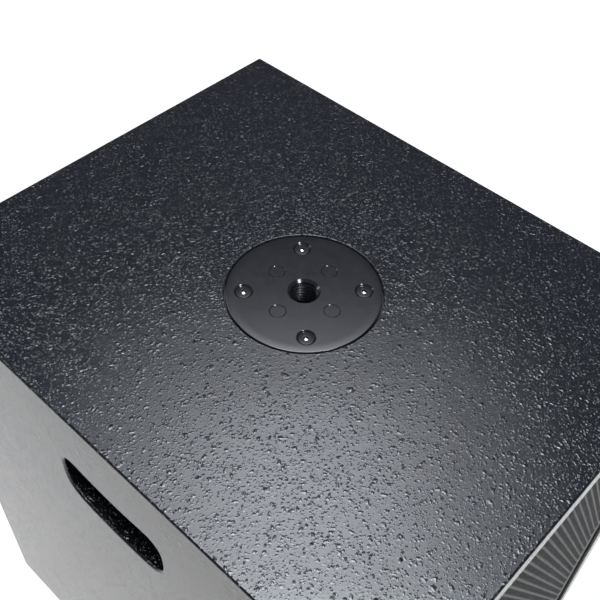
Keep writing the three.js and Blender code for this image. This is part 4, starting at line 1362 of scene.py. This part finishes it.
def amplifier():
    """Everything on and behind the amplifier plate."""
    sheet, plastic, metal, mark = powder_coat(), moulded_black(), contact_metal(), white_print()
    refined("amp_plate", sheet, "cabinet", "black_steel", 0.5 * MM)
    refined("heat_sink", anodised(), "cabinet", "black_aluminium", 0.45 * MM)
    refined("rocker_frame", plastic, "cabinet", "black_plastic", 0.5 * MM, 3)
    refined("power_rocker", plastic, "power_switch", "black_plastic", 0.6 * MM, 3)
    knob("gain_knob", "gain_control", plastic, mark)
    knob("crossover_knob", "crossover_control", plastic, mark)
    dial_marks(mark)
    button_and_light(plastic)
    audio_sockets(plastic, zinc())
    mains_parts(plastic, metal)
    transformer()
    for node in ("control_board", "power_board"):
        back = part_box(node)[0].y
        green = circuit_board((-1, back - MM, -1), (1, back + 1.7 * MM, 1))
        refined(node, green, "cabinet", "circuit_board", 0.2 * MM)


# ---- Feet ----


def feet(look, screw_look):
    """Rubber feet, each with a cross-slotted screw up its middle."""
    for number in range(1, 5):
        node = f"rubber_foot_{number}"
        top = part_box(node)[1].z
        x, y, _ = centre_of(node)
        profile = (
            [(2.6 * MM, top)]
            + mm([(2.6, 5), (5.6, 5), (6, 4.6), (6, 0.5), (6.5, 0)])
            + arc((14.6 * MM, 1.6 * MM), 1.6 * MM, -90, -12, 5)
            + mm([(18.5, -0.8), (18.1, 0)], top)
        )
        piece(f"{node}_moulding", turned(profile, 72, (x, y, 0)), look, "cabinet", "rubber", node)
        head = [(0, 2.9), (1.5, 2.8), (3.6, 3.0), (4.2, 3.6), (4.3, 4.9)]
        head += [(2.2, 4.9), (2.2, 30), (1, 33), (0, 33.5)]
        long, thin, slot_low, slot_high = 2.4 * MM, 0.4 * MM, 2 * MM, 3.9 * MM
        body = carved(
            turned(mm(head), 36, (x, y, 0), closed=False),
            block((x - long, y - thin, slot_low), (x + long, y + thin, slot_high)),
            block((x - thin, y - long, slot_low), (x + thin, y + long, slot_high)),
        )
        piece(f"foot_screw_{number}", body, screw_look, "cabinet", "black_steel")


# ---- Light and floor ----

WORLD_GREY = 0.12
KEY_HEIGHT = 1.3  # above the top
KEY_FAR_END = 1.26  # horizontally from the middle of the plate
KEY_HEADING = 41.4  # degrees from +X towards +Y, straight away from the camera
LAMP_TINT = (0.965, 1.0, 1.065)
FLOOR_REACH = 12


def add_lamp(name, radiance, length, width):
    """A rectangular area light of the given radiance."""
    data = bpy.data.lights.new(name, "AREA")
    data.shape, data.size, data.size_y = "RECTANGLE", length, width
    data.energy = radiance * math.pi * length * width
    data.color = LAMP_TINT
    lamp = bpy.data.objects.new(name, data)
    bpy.context.scene.collection.objects.link(lamp)
    return lamp


def fade(lamp, lengthwise, crosswise):
    """Let a lamp's brightness fall off smoothly over these shares of its length (far end) and width."""
    lamp.data.use_nodes = True
    nodes, links = lamp.data.node_tree.nodes, lamp.data.node_tree.links
    place, split = nodes.new("ShaderNodeNewGeometry"), nodes.new("ShaderNodeSeparateXYZ")
    links.new(place.outputs["Parametric"], split.inputs["Vector"])
    product = nodes.new("ShaderNodeMath")
    product.operation = "MULTIPLY"
    for slot, (axis, share, both) in enumerate((("X", lengthwise, False), ("Y", crosswise, True))):
        edge = split.outputs[axis]
        if both:
            folded = nodes.new("ShaderNodeMath")
            folded.operation = "PINGPONG"
            links.new(edge, folded.inputs[0])
            folded.inputs[1].default_value = 0.5
            edge = folded.outputs["Value"]
        ramp = nodes.new("ShaderNodeMapRange")
        ramp.interpolation_type = "SMOOTHSTEP"
        ramp.inputs["From Min"].default_value = 0.0 if both else 1.0
        ramp.inputs["From Max"].default_value = share if both else 1.0 - share
        links.new(edge, ramp.inputs["Value"])
        links.new(ramp.outputs["Result"], product.inputs[slot])
    links.new(product.outputs["Value"], nodes["Emission"].inputs["Strength"])


def add_softbox(name, radiance, width, near_end, far_end, height):
    """A softbox overhead, facing down, its length along the camera's heading."""
    lamp = add_lamp(name, radiance, far_end - near_end, width)
    heading = math.radians(KEY_HEADING)
    middle = (near_end + far_end) / 2
    lamp.location = (middle * math.cos(heading), middle * math.sin(heading), COAT_HIGH.z + height)
    lamp.rotation_euler = (0, 0, heading)
    return lamp


def add_side_softbox(name, radiance, size, turn, rise, distance):
    """A square softbox aimed at the plate, turned about it from the camera's heading."""
    lamp = add_lamp(name, radiance, size, size)
    heading, rise = math.radians(KEY_HEADING + turn), math.radians(rise)
    out = Vector((math.cos(heading) * math.cos(rise), math.sin(heading) * math.cos(rise), math.sin(rise)))
    lamp.location = PLATE_CENTRE + out * distance
    lamp.rotation_euler = (-out).to_track_quat("-Z", "Y").to_euler()


def add_studio():
    """Softboxes, a world that looks white but lights only a little, and a white floor."""
    scene = bpy.context.scene
    scene.view_settings.view_transform = "Standard"
    world = bpy.data.worlds.new("studio")
    scene.world = world
    world.use_nodes = True
    nodes, links = world.node_tree.nodes, world.node_tree.links
    shown = nodes["Background"]
    shown.inputs["Color"].default_value = (1, 1, 1, 1)
    shown.inputs["Strength"].default_value = 1.0
    lit = nodes.new("ShaderNodeBackground")
    lit.inputs["Color"].default_value = (0.95, 1.0, 1.1, 1)
    lit.inputs["Strength"].default_value = WORLD_GREY
    rays, blend = nodes.new("ShaderNodeLightPath"), nodes.new("ShaderNodeMixShader")
    links.new(rays.outputs["Is Camera Ray"], blend.inputs["Fac"])
    links.new(lit.outputs["Background"], blend.inputs[1])
    links.new(shown.outputs["Background"], blend.inputs[2])
    links.new(blend.outputs["Shader"], nodes["World Output"].inputs["Surface"])
    fade(add_softbox("key_softbox", 8.8, 1.34, -0.3, KEY_FAR_END, KEY_HEIGHT), 0.47, 0.5)
    add_softbox("top_softbox", 9.0, 0.8, -0.55, 0.3, KEY_HEIGHT - 0.05)
    add_side_softbox("front_softbox", 40.0, 0.26, 217, 40, 1.3)  # catches the far walls of the holes
    add_side_softbox("rear_softbox", 5.0, 0.9, 65, 28, 1.9)  # shows the rear panel

    corners = [(-FLOOR_REACH, -FLOOR_REACH, 0), (FLOOR_REACH, -FLOOR_REACH, 0)]
    corners += [(FLOOR_REACH, FLOOR_REACH, 0), (-FLOOR_REACH, FLOOR_REACH, 0)]
    floor = object_of("floor", mesh_of("floor", corners, [[0, 1, 2, 3]]))
    floor.data.materials.append(pale_floor())


# ---- Everything ----

add_camera()
paint_panels()
coat_skin()
pole_plate()
screw_steel = burnished_black()
plate_screws(dull_black("oxide_black"), contact_metal())
hand_hold_cups(moulded_black())
woofer()
ports(moulded_black())
front()
amplifier()
pan_screws("woofer", screw_steel, 5.0 * MM, 2.8 * MM, 2.3 * MM, 2.0 * MM, -1)
pan_screws("grille", screw_steel, 4.8 * MM, 2.3 * MM, 2.1 * MM, 1.8 * MM, -1)
pan_screws("amp", screw_steel, 4.4 * MM, 2.3 * MM, 2.0 * MM, 1.7 * MM, 1)
feet(rubber(), screw_steel)
add_studio()
